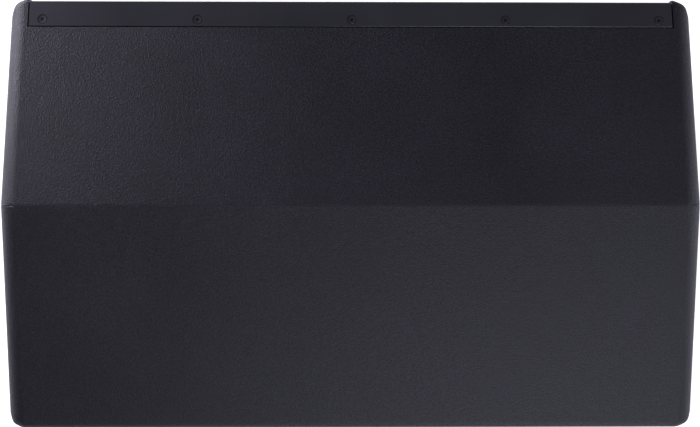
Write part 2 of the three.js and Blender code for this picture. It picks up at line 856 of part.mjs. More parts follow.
const hornGroup = new THREE.Group();
hornGroup.position.set(0, yBaffle, zMiddle);
place(hornGroup, "waveguide", waveguide(), mouldedPlastic);
place(hornGroup, "hf_front_plate", hfFrontPlate(), zincSteel);
place(hornGroup, "hf_magnet", hfMagnet(), ferrite);
place(hornGroup, "hf_diaphragm", hfDiaphragm(), anodised);
place(hornGroup, "hf_cover", hfCover(), mouldedPlastic);
for (const [side, suffix] of [[-1, "left"], [1, "right"]]) {
  const duct = place(hornGroup, `port_duct_${suffix}`, portDuct(), mouldedPlastic);
  duct.position.x = side * portX;
}
speaker.add(hornGroup);

// ---------------------------------------------------------------- side hardware

// Where each rigging plate's pocket sits on a side, as its middle and half of its height.
const pockets = {
  front: { y: yBaffleBack + pocketStandoff + pocketWidth / 2, half: zMiddle - plateMargin - plateRim },
  rear: { y: yRearBoardFront - pocketStandoff - pocketWidth / 2, half: 0 },
};
pockets.rear.half = outerHeightAt(pockets.rear.y + pocketWidth / 2 + plateRim)
  - plateMargin - plateRim;
const dishY = (pockets.front.y + pockets.rear.y) / 2;

// Each solid here is drawn for the right-hand side, with x measured outwards from the middle.
const sideFace = halfWidth;

function sidePanel() {
  const panel = outerForm.intersect(
    block([innerHalf, yFront - 1, -1], [halfWidth + 1, yRear + 1, cabinetHeight + 1]),
  );
  const tools = [];
  for (const { y, half } of Object.values(pockets)) {
    const sheet = rectangle(y, zMiddle, pocketWidth + 2 * (plateRim + gap), 2 * (half + plateRim + gap));
    tools.push(prism("x", roundedShape(sheet, 6), sideFace - plateSheet - gap, sideFace + 1));
    const cup = rectangle(y, zMiddle, pocketWidth + 2 * (plateSheet + gap), 2 * (half + plateSheet + gap));
    tools.push(prism("x", roundedShape(cup, 6), innerHalf - 1, sideFace));
  }
  const rim = rectangle(
    dishY, zMiddle, dishWidth + 2 * (dishRim + gap), dishHeight + 2 * (dishRim + gap));
  tools.push(prism("x", roundedShape(rim, 14), sideFace - dishWall - gap, sideFace + 1));
  const dish = rectangle(
    dishY, zMiddle, dishWidth + 2 * (dishWall + gap), dishHeight + 2 * (dishWall + gap));
  tools.push(prism("x", roundedShape(dish, 10), innerHalf - 1, sideFace));
  return cutBy(panel, ...tools);
}

// A flush steel plate with a deep pocket, and a bossed bore for a pin above and below its middle.
function riggingPlate({ y, half }) {
  const sheet = rectangle(y, zMiddle, pocketWidth + 2 * plateRim, 2 * (half + plateRim));
  const cup = rectangle(y, zMiddle, pocketWidth + 2 * plateSheet, 2 * (half + plateSheet));
  const hollow = rectangle(y, zMiddle, pocketWidth, 2 * half);
  const floor = sideFace - pocketDepth;
  const face = prism("x", roundedShape(sheet, 6), sideFace - plateSheet, sideFace);
  const shell = prism("x", roundedShape(cup, 6), floor - plateSheet, sideFace - plateSheet / 2);
  const bosses = [];
  const tools = [prism("x", roundedShape(hollow, 4), floor, sideFace + 1)];
  for (const way of [-1, 1]) {
    const z = zMiddle + way * (half - pinInset);
    const end = floor - plateSheet - bossLength;
    bosses.push(rod(bossRadius, [end, y, z], [floor - plateSheet / 2, y, z], 12));
    tools.push(rod(pinRadius + gap, [end - 1, y, z], [floor + 1, y, z], 12));
  }
  return cutBy(joined(face, shell, ...bosses), ...tools);
}

// A quick-release pin with a button in its head, in the upper bore of a pocket.
function riggingPin({ y, half }) {
  const z = zMiddle + half - pinInset;
  const floor = sideFace - pocketDepth;
  const head = floor + gap;
  const tip = floor - plateSheet - bossLength - pinOverhang;
  const cap = head + pinHeadLength;
  return joined(
    rod(pinRadius, [tip, y, z], [head + 1, y, z], 12),
    rod(pinHeadRadius, [head, y, z], [cap, y, z]),
    rod(pinButtonRadius, [cap - 1, y, z], [cap + pinButtonLength, y, z], 12),
  );
}

// A moulded dish let into the side, with a rim that lies flush with its face.
function handleDish() {
  const rim = rectangle(dishY, zMiddle, dishWidth + 2 * dishRim, dishHeight + 2 * dishRim);
  const outer = rectangle(dishY, zMiddle, dishWidth + 2 * dishWall, dishHeight + 2 * dishWall);
  const inner = rectangle(dishY, zMiddle, dishWidth, dishHeight);
  const pivotZ = zMiddle + dishHeight / 2 - bailPivotDrop;
  const reach = dishWidth / 2 + dishWall + 1;
  const x = sideFace - bailInset;
  return cutBy(
    joined(
      prism("x", roundedShape(rim, 14), sideFace - dishWall, sideFace),
      prism("x", roundedShape(outer, 10), sideFace - dishDepth - dishWall, sideFace - dishWall / 2),
    ),
    prism("x", roundedShape(inner, 8), sideFace - dishDepth, sideFace + 1),
    rod(pivotRadius + gap, [x, dishY - reach, pivotZ], [x, dishY + reach, pivotZ], 12),
  );
}

// The folding handle: two arms, a round grip, and a stub pivot at the head of each arm.
function handleBail() {
  const pivotZ = zMiddle + dishHeight / 2 - bailPivotDrop;
  const gripZ = pivotZ - bailReach;
  const x = sideFace - bailInset;
  const stub = (dishWidth - bailSpan) / 2 + dishWall; // as far as the outside of the dish
  const pieces = [
    rod(gripRadius, [x, dishY - bailSpan / 2, gripZ], [x, dishY + bailSpan / 2, gripZ], 12),
  ];
  for (const way of [-1, 1]) {
    const outer = dishY + (way * bailSpan) / 2;
    const inner = outer - way * bailThickness;
    const [low, high] = [outer, inner].sort((a, b) => a - b);
    pieces.push(
      block([x - bailWidth / 2, low, gripZ], [x + bailWidth / 2, high, pivotZ + bailWidth / 2]),
      rod(pivotRadius, [x, inner, pivotZ], [x, outer + way * stub, pivotZ], 12),
    );
  }
  return joined(...pieces);
}

for (const [side, suffix] of [[-1, "left"], [1, "right"]]) {
  const across = (solid) => (side > 0 ? solid : mirrored(solid));
  place(speaker, `side_panel_${suffix}`, across(sidePanel()), texturedPaint);
  for (const [where, pocket] of Object.entries(pockets)) {
    place(speaker, `rigging_plate_${where}_${suffix}`, across(riggingPlate(pocket)), coatedSteel);
    place(speaker, `rigging_pin_${where}_${suffix}`, across(riggingPin(pocket)), zincSteel);
  }
  place(speaker, `handle_dish_${suffix}`, across(handleDish()), mouldedPlastic);
  place(speaker, `handle_bail_${suffix}`, across(handleBail()), castMetal);
}

// ---------------------------------------------------------------- rear panel

const panelFront = yRearBoard + gap; // the face that lies on the rear board
const panelBack = panelFront + panelSheet; // the face that is seen

function rearPanel() {
  const sheet = roundedShape(rectangle(zMiddle, 0, panelHeight, panelWidth), 4);
  const openings = [];
  for (const [x, z] of socketPlaces) {
    openings.push(
      rod(socketBarrelRadius + gap, [x, panelFront - 1, z], [x, panelBack + 1, z]));
  }
  openings.push(
    rod(knobShaftRadius + gap, [knobX, panelFront - 1, knobZ], [knobX, panelBack + 1, knobZ], 12),
    block(
      [rockerX - rockerWidth / 2 - gap, panelFront - 1, rockerZ - rockerHeight / 2 - gap],
      [rockerX + rockerWidth / 2 + gap, panelBack + 1, rockerZ + rockerHeight / 2 + gap],
    ),
  );
  return cutBy(prism("y", sheet, panelFront, panelBack), ...openings);
}

// The extruded heatsink, with upright fins.
function heatsink() {
  const y = panelBack + gap;
  const low = zMiddle - heatsinkHeight / 2;
  const high = zMiddle + heatsinkHeight / 2;
  const shape = new THREE.Shape();
  shape.moveTo(-heatsinkWidth / 2, y);
  shape.lineTo(heatsinkWidth / 2, y);
  const pitch = (heatsinkWidth - finThickness) / (finCount - 1);
  for (let i = finCount - 1; i >= 0; i--) {
    const x = -heatsinkWidth / 2 + pitch * i;
    if (i < finCount - 1) shape.lineTo(x + finThickness, y + heatsinkBase);
    shape.lineTo(x + finThickness, y + heatsinkBase + finHeight);
    shape.lineTo(x, y + heatsinkBase + finHeight);
    if (i > 0) shape.lineTo(x, y + heatsinkBase);
  }
  shape.closePath();
  const geometry = new THREE.ExtrudeGeometry(shape, { depth: high - low, bevelEnabled: false });
  geometry.translate(0, 0, low);
  return solidOf(geometry);
}

// A chassis socket: a flange on the panel and a barrel behind it, bored from outside.
function chassisSocket(boreRadius, barrelRadius) {
  const flange = roundedShape(rectangle(0, 0, socketFlangeHeight, socketFlangeWidth), 2.5);
  return cutBy(
    joined(
      prism("y", flange, panelBack + gap, panelBack + gap + socketFlange),
      rod(barrelRadius, [0, panelBack + gap + socketFlange / 2, 0],
        [0, panelBack + gap + socketFlange - socketDepth, 0]),
    ),
    rod(boreRadius, [0, panelBack + 5, 0],
      [0, panelBack + gap + socketFlange - socketBoreDepth, 0]),
  );
}

// The rotary level control: a fluted knob on a shaft through the panel.
function levelKnob() {
  return turned([
    [0, panelFront - 8],
    [knobShaftRadius, panelFront - 8],
    [knobShaftRadius, panelBack + 1],
    [knobRadius, panelBack + 1],
    [knobRadius - 1, panelBack + 1 + knobLength],
    [0, panelBack + 1 + knobLength],
  ], 16);
}

// A rocker switch's cap, drawn about the middle of its opening.
function rockerCap() {
  const shape = new THREE.Shape();
  const half = rockerHeight / 2 - 0.5;
  const rise = half * Math.tan(rockerTilt);
  shape.moveTo(panelFront - 6, -half + 2);
  shape.lineTo(panelFront - 6, half - 2);
  shape.lineTo(panelBack + 2, half);
  shape.lineTo(panelBack + 2 + rise / 2, half);
  shape.lineTo(panelBack + 2, 0);
  shape.lineTo(panelBack + 2 + rise / 2, -half);
  shape.lineTo(panelBack + 2, -half);
  shape.closePath();
  return prism("x", shape, -rockerWidth / 2 + 0.5, rockerWidth / 2 - 0.5);
}

// The amplifier's circuit board, standing off behind the panel.
function amplifierBoard() {
  const y = panelFront - standoffLength;
  const board = block(
    [-boardWidth / 2, y - boardSheet, -boardHeight / 2],
    [boardWidth / 2, y, boardHeight / 2],
  );
  const pieces = [board];
  for (const x of [-1, 1]) {
    for (const z of [-1, 1]) {
      const at = [x * (heatsinkWidth / 2 - standoffInset), z * (boardHeight / 2 - standoffInset)];
      pieces.push(
        rod(4, [at[0], y - boardSheet / 2, at[1]], [at[0], panelFront - gap, at[1]], 8));
    }
  }
  const chokes = [
    block([-150, y - 32, -30], [-90, y - boardSheet / 2, 30]),
    block([-70, y - 26, -34], [-10, y - boardSheet / 2, 34]),
    block([20, y - 32, -25], [70, y - boardSheet / 2, 25]),
  ];
  return joined(...pieces, ...chokes);
}

place(speaker, "rear_panel", rearPanel(), coatedSteel);
place(speaker, "heatsink", heatsink(), anodised);
const amplifier = place(speaker, "amplifier_board", amplifierBoard(), circuitGreen);
amplifier.position.z = zMiddle;
const sockets = [
  ["signal_input", signalBoreRadius, castMetal],
  ["signal_output", signalBoreRadius, castMetal],
  ["mains_inlet", mainsBoreRadius, mouldedPlastic],
];
sockets.forEach(([name, boreRadius, material], i) => {
  const [x, z] = socketPlaces[i];
  const socket = place(speaker, name, chassisSocket(boreRadius, socketBarrelRadius), material);
  socket.position.set(x, 0, z);
});
place(speaker, "level_knob", levelKnob(), mouldedPlastic).position.set(knobX, 0, knobZ);
place(speaker, "power_rocker", rockerCap(), mouldedPlastic).position.set(rockerX, 0, rockerZ);

export default speaker;
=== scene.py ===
import math

import bmesh
import bpy
from mathutils import Matrix, Vector


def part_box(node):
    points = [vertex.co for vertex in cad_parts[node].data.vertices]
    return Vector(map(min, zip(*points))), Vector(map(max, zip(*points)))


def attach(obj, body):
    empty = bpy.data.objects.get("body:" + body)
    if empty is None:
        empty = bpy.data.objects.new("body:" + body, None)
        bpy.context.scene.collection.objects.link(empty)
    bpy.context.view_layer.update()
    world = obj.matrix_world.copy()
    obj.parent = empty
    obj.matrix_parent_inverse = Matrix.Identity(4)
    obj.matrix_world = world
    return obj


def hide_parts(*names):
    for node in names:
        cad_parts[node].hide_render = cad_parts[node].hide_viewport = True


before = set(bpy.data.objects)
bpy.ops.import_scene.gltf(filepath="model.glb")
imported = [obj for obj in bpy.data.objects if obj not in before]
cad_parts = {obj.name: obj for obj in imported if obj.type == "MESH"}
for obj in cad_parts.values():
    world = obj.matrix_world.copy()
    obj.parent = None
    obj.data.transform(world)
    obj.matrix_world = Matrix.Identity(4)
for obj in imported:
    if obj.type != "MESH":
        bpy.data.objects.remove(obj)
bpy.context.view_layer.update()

# ---------------------------------------------------------------- cabinet shell
# The top, bottom and side boards are plywood, glued and filled, and then sprayed as one body with
# a thick black coating that dries to a fine leathery texture. So they show as one skin: a sleeve
# that is open at the front and the rear, with recesses let into its sides.

side_low, side_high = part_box("side_panel_right")
half_width = side_high[0]
inner_half = side_low[0]
board = half_width - inner_half
front, rear = side_low[1], side_high[1]
height = side_high[2]
middle = height / 2
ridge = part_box("top_front_board")[1][1]
taper = math.radians(15)
side_roundover = 0.017
end_roundover = 0.005
ridge_softening = 0.0016


def prism(corners, low, high):
    """A closed block with this outline in Y and Z, from x = low to x = high."""
    shape = bmesh.new()
    face = shape.faces.new([shape.verts.new((low, y, z)) for y, z in corners])
    grown = bmesh.ops.extrude_face_region(shape, geom=[face])
    moved = [v for v in grown["geom"] if isinstance(v, bmesh.types.BMVert)]
    bmesh.ops.translate(shape, verts=moved, vec=(high - low, 0, 0))
    bmesh.ops.recalc_face_normals(shape, faces=shape.faces)
    return shape


def slab(low, high, axis, corner, edge=0.0, steps=5):
    """A block with its four edges along an axis rounded, and its rims eased by a small bevel."""
    low, high = Vector(low), Vector(high)
    shape = bmesh.new()
    place = Matrix.Translation((low + high) / 2) @ Matrix.Diagonal((*(high - low), 1))
    bmesh.ops.create_cube(shape, size=1, matrix=place)
    others = [i for i in range(3) if i != axis]
    for rounding, chosen, segments in ((corner, True, steps), (edge, False, 2)):
        if rounding == 0:
            continue
        edges = []
        for e in shape.edges:
            run = e.verts[0].co - e.verts[1].co
            along = all(abs(run[i]) < 1e-6 for i in others)
            across = abs(run[axis]) < 1e-6
            if along if chosen else across:
                edges.append(e)
        bmesh.ops.bevel(
            shape, geom=edges, offset=rounding, offset_type="OFFSET", segments=segments,
            profile=0.5, affect="EDGES", material=-1, clamp_overlap=True)
    return shape


def turned(profile, centre, axis, steps=32):
    """A closed solid spun about an axis from (radius, distance along the axis) points."""
    shape = bmesh.new()
    axis = Vector(axis)
    out = axis.orthogonal().normalized()
    points = [shape.verts.new(Vector(centre) + out * r + axis * d) for r, d in profile]
    edges = [shape.edges.new(pair) for pair in zip(points, points[1:])]
    bmesh.ops.spin(
        shape, geom=points + edges, cent=centre, axis=axis, angle=2 * math.pi, steps=steps,
        use_merge=True)
    bmesh.ops.remove_doubles(shape, verts=shape.verts, dist=1e-6)
    bmesh.ops.recalc_face_normals(shape, faces=shape.faces)
    return shape


def together(*shapes):
    """Several closed shapes in one."""
    whole = bmesh.new()
    for shape in shapes:
        carrier = bpy.data.meshes.new("carrier")
        shape.to_mesh(carrier)
        shape.free()
        whole.from_mesh(carrier)
        bpy.data.meshes.remove(carrier)
    return whole


def piece(shape, name, surface=None, body="cabinet", crease=35):
    """A shape as an object of the speaker, smooth except where it turns by more than crease."""
    mesh = bpy.data.meshes.new(name)
    shape.to_mesh(mesh)
    shape.free()
    made = bpy.data.objects.new(name, mesh)
    bpy.context.scene.collection.objects.link(made)
    mesh.shade_smooth()
    mesh.set_sharp_from_angle(angle=math.radians(crease))
    if surface:
        mesh.materials.append(surface)
    if body:
        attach(made, body)
    return made


def settle(made, crease=35):
    """Keeps what the modifiers make as the object's own mesh."""
    graph = bpy.context.evaluated_depsgraph_get()
    mesh = bpy.data.meshes.new_from_object(made.evaluated_get(graph))
    made.modifiers.clear()
    old, made.data = made.data, mesh
    bpy.data.meshes.remove(old)
    mesh.shade_smooth()
    mesh.set_sharp_from_angle(angle=math.radians(crease))


def even(made):
    """Keeps an object's broad faces flat, so that only its roundovers shade from one to the next."""
    level = made.modifiers.new("even", "WEIGHTED_NORMAL")
    level.keep_sharp = True
    level.weight = 100


def carve(made, *cutters, crease=35):
    """Cuts shapes out of an object."""
    tools = [piece(cutter, f"{made.name}_cutter", body=None) for cutter in cutters]
    for tool in tools:
        step = made.modifiers.new("cut", "BOOLEAN")
        step.operation = "DIFFERENCE"
        step.solver = "EXACT"
        step.object = tool
    settle(made, crease)
    for tool in tools:
        bpy.data.objects.remove(tool)


def finish(name, colours, roughness, metallic=0.0, mottle=40, bumps=(), specular=0.5, coat=0.0,
           speckle=None):
    """A surface whose colour drifts between two tones, with layers of bump given as
    (kind of texture, size of its grain in metres, depth of its relief in metres, strength).
    A speckle is (size of its grain in metres, darkest, lightest) and varies the tones finely."""
    made = bpy.data.materials.new(name)
    made.use_nodes = True
    nodes, links = made.node_tree.nodes, made.node_tree.links
    shader = nodes["Principled BSDF"]
    shader.inputs["Metallic"].default_value = metallic
    shader.inputs["Specular IOR Level"].default_value = specular
    shader.inputs["Coat Weight"].default_value = coat
    place = nodes.new("ShaderNodeTexCoord")
    drift = nodes.new("ShaderNodeTexNoise")
    drift.inputs["Scale"].default_value = mottle
    drift.inputs["Detail"].default_value = 5
    links.new(place.outputs["Object"], drift.inputs["Vector"])
    ramp = nodes.new("ShaderNodeValToRGB")
    ramp.color_ramp.elements[0].position = 0.35
    ramp.color_ramp.elements[1].position = 0.68
    ramp.color_ramp.elements[0].color = (*colours[0], 1)
    ramp.color_ramp.elements[1].color = (*colours[1], 1)
    links.new(drift.outputs["Fac"], ramp.inputs["Fac"])
    tone = ramp.outputs["Color"]
    if speckle:
        flecks = nodes.new("ShaderNodeTexNoise")
        flecks.inputs["Scale"].default_value = 1 / speckle[0]
        flecks.inputs["Detail"].default_value = 2
        links.new(place.outputs["Object"], flecks.inputs["Vector"])
        shade = nodes.new("ShaderNodeMapRange")
        shade.inputs["From Min"].default_value = 0.35
        shade.inputs["From Max"].default_value = 0.65
        shade.inputs["To Min"].default_value = speckle[1]
        shade.inputs["To Max"].default_value = speckle[2]
        links.new(flecks.outputs["Fac"], shade.inputs["Value"])
        scaled = nodes.new("ShaderNodeVectorMath")
        scaled.operation = "SCALE"
        links.new(tone, scaled.inputs["Vector"])
        links.new(shade.outputs["Result"], scaled.inputs["Scale"])
        tone = scaled.outputs["Vector"]
    links.new(tone, shader.inputs["Base Color"])
    gloss = nodes.new("ShaderNodeMapRange")
    gloss.inputs["To Min"].default_value = roughness[0]
    gloss.inputs["To Max"].default_value = roughness[1]
    links.new(drift.outputs["Fac"], gloss.inputs["Value"])
    links.new(gloss.outputs["Result"], shader.inputs["Roughness"])
    before = None
    for kind, grain, depth, strength in bumps:
        texture = nodes.new("ShaderNodeTexVoronoi" if kind == "cells" else "ShaderNodeTexNoise")
        texture.inputs["Scale"].default_value = 1 / grain
        if kind == "cells":
            texture.feature = "SMOOTH_F1"
        else:
            texture.inputs["Detail"].default_value = 3
        links.new(place.outputs["Object"], texture.inputs["Vector"])
        relief = nodes.new("ShaderNodeBump")
        relief.inputs["Distance"].default_value = depth
        relief.inputs["Strength"].default_value = strength
        links.new(texture.outputs["Distance" if kind == "cells" else "Fac"], relief.inputs["Height"])
        if before:
            links.new(before.outputs["Normal"], relief.inputs["Normal"])
        before = relief
    if before:
        links.new(before.outputs["Normal"], shader.inputs["Normal"])
    return made


coating = finish(
    "textured_coating", [(0.0056, 0.0051, 0.0088), (0.0096, 0.0088, 0.0136)], (0.46, 0.60),
    mottle=9, bumps=[("cells", 0.0010, 0.0005, 0.60), ("noise", 0.0006, 0.0004, 0.65)], specular=0.3,
    speckle=(0.0013, 0.25, 1.75))


def outline_at(inset):
    """The cabinet's side outline as (y, z) corners, moved inwards by a board's thickness."""
    mitre = inset * math.tan(taper / 2)
    end_height = middle - (rear - ridge) * math.tan(taper) - inset / math.cos(taper)
    upper = [(ridge - mitre, middle - inset), (rear, end_height)]
    corners = [(front, -(middle - inset)), *[(y, -z) for y, z in upper]]
    corners += [*reversed(upper), (front, middle - inset)]
    return [(y, middle + z) for y, z in corners]


shell_shape = prism(outline_at(0), -half_width, half_width)
weight = shell_shape.edges.layers.float.new("bevel_weight_edge")
for edge in shell_shape.edges:
    a, b = edge.verts
    edge[weight] = 1
    if abs(a.co.x - b.co.x) > half_width:
        at_ridge = abs(a.co.y - ridge) < board
        edge[weight] = (ridge_softening if at_ridge else end_roundover) / side_roundover
shell = piece(shell_shape, "cabinet_shell", coating)
rounding = shell.modifiers.new("roundover", "BEVEL")
rounding.limit_method = "WEIGHT"
rounding.width = side_roundover
rounding.segments = 8
settle(shell)

sheet = 0.0015
seat = 0.0003
grille_low, grille_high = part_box("grille")
board_front = grille_low[1] + sheet + seat
rebate_end = grille_high[1] + 0.001
inner = outline_at(board)
far = 0.02
tunnel = [(y - far if y == front else y + far if y == rear else y, z) for y, z in inner]
tunnel = [
    (y, z + (math.copysign(far * math.tan(taper), middle - z) if y > rear else 0)) for y, z in tunnel]
plates = {}
for end in ("front", "rear"):
    plates[end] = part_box(f"rigging_plate_{end}_right")
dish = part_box("handle_dish_right")
cutters = [
    prism(tunnel, -inner_half, inner_half),
    slab((-inner_half, front - far, -far), (inner_half, board_front, height + far), 0, 0),
    slab((-inner_half, front - far, height - sheet - seat),
         (inner_half, rebate_end, height + far), 0, 0),
    slab((-inner_half, front - far, -far), (inner_half, rebate_end, sheet + seat), 0, 0),
]
for side in (-1, 1):
    for (low, high), corner in ((plates["front"], 0.0045), (plates["rear"], 0.0045), (dish, 0.0105)):
        xs = sorted((side * (inner_half - far), side * (half_width + far)))
        cutters.append(slab(
            (xs[0], low[1] - seat, low[2] - seat), (xs[1], high[1] + seat, high[2] + seat), 0, corner))
carve(shell, *cutters, crease=28)
even(shell)
shell.data.materials.clear()
shell.data.materials.append(coating)
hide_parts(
    "side_panel_left", "side_panel_right", "top_front_board", "top_rear_board",
    "bottom_front_board", "bottom_rear_board")
for name in ("baffle_board", "rear_board"):
    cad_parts[name].data.materials.clear()
    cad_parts[name].data.materials.append(coating)

# ---------------------------------------------------------------- grille
# One sheet of 1.5 mm steel, folded back over the top and the bottom edge, in smooth satin black,
# with foam glued behind it. The real one is punched with round holes in staggered rows. Here the
# rims of the holes are laid out in the sheet, but the faces inside them are still closed.

bend = 0.0026
hole_radius = 0.0025
hole_pitch = 0.007
plain_border = 0.007
sheet_left, sheet_right = grille_low[0], grille_high[0]
grille_front = grille_low[1]
flange_end = grille_high[1]

satin = finish(
    "satin_powder_coat", [(0.0165, 0.0162, 0.0205), (0.0215, 0.0210, 0.0260)], (0.30, 0.40),
    mottle=14, bumps=[("noise", 0.0022, 0.00012, 0.25), ("noise", 0.0005, 0.00004, 0.3)],
    specular=0.5)

row_pitch = hole_pitch * math.sqrt(3) / 2
rows = int((height - 2 * bend - 2 * plain_border) / row_pitch) - 1
columns = int((sheet_right - sheet_left) / hole_pitch) + 3
mesh_shape = bmesh.new()
turn = Matrix.Rotation(math.pi / 2, 4, "X")
bmesh.ops.create_grid(
    mesh_shape, x_segments=columns, y_segments=rows, size=0.5,
    matrix=Matrix.Translation((0, grille_front, middle)) @ turn
    @ Matrix.Diagonal((columns * hole_pitch, rows * row_pitch, 1, 1)))
lowest = min(v.co.z for v in mesh_shape.verts)
for vert in mesh_shape.verts:
    if round((vert.co.z - lowest) / row_pitch) % 2:
        vert.co.x += hole_pitch / 2
bmesh.ops.triangulate(mesh_shape, faces=mesh_shape.faces, quad_method="SHORT_EDGE")
for limit, way in ((sheet_left, -1), (sheet_right, 1)):
    bmesh.ops.bisect_plane(
        mesh_shape, geom=mesh_shape.faces[:] + mesh_shape.edges[:] + mesh_shape.verts[:],
        plane_co=(limit, 0, 0), plane_no=(way, 0, 0), clear_outer=True)
highest = max(v.co.z for v in mesh_shape.verts)
punched = [
    v for v in mesh_shape.verts
    if min(v.co.x - sheet_left, sheet_right - v.co.x) > plain_border
    and min(v.co.z - lowest, highest - v.co.z) > row_pitch / 2]
bmesh.ops.bevel(
    mesh_shape, geom=punched, offset=hole_radius, offset_type="OFFSET", segments=2, profile=0.5,
    affect="VERTICES", material=-1, clamp_overlap=True)
for level, target in ((lowest, bend), (highest, height - bend)):
    rim = []
    for e in mesh_shape.edges:
        if e.is_boundary and all(abs(v.co.z - level) < 1e-6 for v in e.verts):
            rim.append(e)
    grown = bmesh.ops.extrude_edge_only(mesh_shape, edges=rim)
    for vert in [v for v in grown["geom"] if isinstance(v, bmesh.types.BMVert)]:
        vert.co.z = target
bmesh.ops.recalc_face_normals(mesh_shape, faces=mesh_shape.faces)
if sum(f.normal.y * f.calc_area() for f in mesh_shape.faces) > 0:
    bmesh.ops.reverse_faces(mesh_shape, faces=mesh_shape.faces)
perforated = piece(mesh_shape, "grille_mesh", satin)
gauge = perforated.modifiers.new("gauge", "SOLIDIFY")
gauge.thickness = sheet
gauge.offset = -1
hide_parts("grille")

screw_boxes = [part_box(f"grille_screw_{i}") for i in range(1, 6)]
screw_places = [((low[0] + high[0]) / 2, (low[1] + high[1]) / 2) for low, high in screw_boxes]
dimple = 0.0043


def flange_shape(upright):
    """The fold and the flange, drawn as a section and drawn out along the grille's width."""
    face = height if upright > 0 else 0
    steps = 6
    outer = []
    inner_arc = []
    for i in range(steps + 1):
        angle = math.pi / 2 * i / steps
        y = grille_front + bend
        z = face - upright * bend
        outer.append((y - bend * math.cos(angle), z + upright * bend * math.sin(angle)))
        small = bend - sheet
        inner_arc.append((y - small * math.cos(angle), z + upright * small * math.sin(angle)))
    ends = [(flange_end, face - upright * 0.0002), (flange_end, face - upright * sheet)]
    outer[-1:] = [outer[-1], (flange_end - 0.0002, face)]
    return prism(outer + ends + inner_arc[::-1], sheet_left, sheet_right)


for name, upright in (("grille_flange_top", 1), ("grille_flange_bottom", -1)):
    flange = piece(flange_shape(upright), name, satin)
    face = height if upright > 0 else 0
    sinks = []
    for x, y in screw_places:
        profile = [
            (0, 0.001), (dimple, 0.001), (dimple, -0.0001), (dimple - 0.0016, -0.003), (0, -0.003)]
        sinks.append(turned(profile, (x, y, face), (0, 0, upright), 28))
    carve(flange, *sinks)
    flange.data.materials.clear()
    flange.data.materials.append(satin)

foam = finish(
    "open_cell_foam", [(0.004, 0.004, 0.0045), (0.009, 0.009, 0.010)], (0.9, 1.0), mottle=300,
    bumps=[("cells", 0.0011, 0.0012, 0.9)], specular=0.2)
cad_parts["grille_foam"].data.materials.clear()
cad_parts["grille_foam"].data.materials.append(foam)

# ---------------------------------------------------------------- grille screws
# Black countersunk machine screws with a cross recess, driven through the flange's dimples into
# the boards. The top row is in the frame, and the bottom row is the same screw turned over.

screw_black = finish(
    "blackened_steel", [(0.014, 0.014, 0.017), (0.024, 0.024, 0.028)], (0.34, 0.48), metallic=0.2,
    mottle=900, bumps=[("noise", 0.0004, 0.00005, 0.3)])
head_radius = 0.0039


def screw(x, y, face, upright, name):
    """One countersunk screw with its head just below the flange's surface."""
    profile = [
        (0, -0.0006), (head_radius * 0.6, -0.00035), (head_radius - 0.0003, -0.0003),
        (head_radius, -0.0005), (0.0021, -0.0025), (0.0019, -0.010), (0, -0.012)]
    made = piece(turned(profile, (x, y, face), (0, 0, upright), 28), name, screw_black)
    twist = Matrix.Rotation(0.5 + 2.1 * x / half_width, 4, "Z")
    slots = []
    for wide, long in ((0.0005, 0.0025), (0.0025, 0.0005)):
        slot = slab((-wide, -long, -0.0019), (wide, long, 0.001), 2, 0.0002, 0.0, 2)
        bmesh.ops.scale(slot, verts=[v for v in slot.verts if v.co.z < 0], vec=(0.55, 0.55, 1))
        bmesh.ops.transform(
            slot, verts=slot.verts,
            matrix=Matrix.Translation((x, y, face)) @ Matrix.Diagonal((1, 1, upright, 1)) @ twist)
        bmesh.ops.recalc_face_normals(slot, faces=slot.faces)
        slots.append(slot)
    carve(made, *slots, crease=25)
    made.data.materials.clear()
    made.data.materials.append(screw_black)
    return made


for i, (x, y) in enumerate(screw_places):
    top_screw = screw(x, y, height, 1, f"top_flange_screw_{i + 1}")
    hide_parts(f"grille_screw_{i + 1}")
    screw(x, y, 0, -1, f"bottom_flange_screw_{i + 1}")

# ---------------------------------------------------------------- rigging plates
# A flush steel plate at the front and the rear of each side, folded into a deep pocket that a
# link plate of the next module drops into. Two bored bosses are welded to the pocket's floor, and
# the plate is powder-coated and screwed to the side.

rigging_black = finish(
    "rigging_powder_coat", [(0.0150, 0.0150, 0.0165), (0.0230, 0.0230, 0.0250)], (0.34, 0.46),
    mottle=60, bumps=[("noise", 0.0009, 0.00012, 0.35)])
worn_steel = finish(
    "plated_steel", [(0.46, 0.47, 0.49), (0.60, 0.61, 0.63)], (0.22, 0.38), metallic=1.0,
    mottle=260, bumps=[("noise", 0.0007, 0.00006, 0.35)])
plate_gauge = 0.003
pocket_rim = 0.008
pocket_corner = 0.0030
boss_radius = 0.009
bore_radius = 0.0053
bore_inset = 0.018


def on_side(shape, side):
    """A shape drawn for the right-hand side, or its mirror image for the left."""
    if side < 0:
        bmesh.ops.scale(shape, verts=shape.verts, vec=(-1, 1, 1))
        bmesh.ops.reverse_faces(shape, faces=shape.faces)
    return shape


def small_screw(x, y, z, axis, name, radius=0.0035, rise=0.0017):
    """A pan-head screw with a cross recess, seated on a surface that faces along an axis."""
    axis = Vector(axis)
    place = Vector((x, y, z))
    dome = [(0, rise), (radius * 0.5, rise * 0.94), (radius * 0.88, rise * 0.65),
            (radius, rise * 0.24), (radius, -0.0002), (0, -0.0002)]
    made = piece(turned(dome, place, axis, 20), name, screw_black)
    turn = axis.to_track_quat("Z", "Y").to_matrix().to_4x4() @ Matrix.Rotation(x * 31 + z * 17, 4, "Z")
    recesses = []
    for wide, long in ((0.0004, radius * 0.6), (radius * 0.6, 0.0004)):
        recess = slab((-wide, -long, rise * 0.35), (wide, long, 0.003), 2, 0)
        bmesh.ops.transform(recess, verts=recess.verts, matrix=Matrix.Translation(place) @ turn)
        recesses.append(recess)
    carve(made, *recesses)
    repaint(made, screw_black)


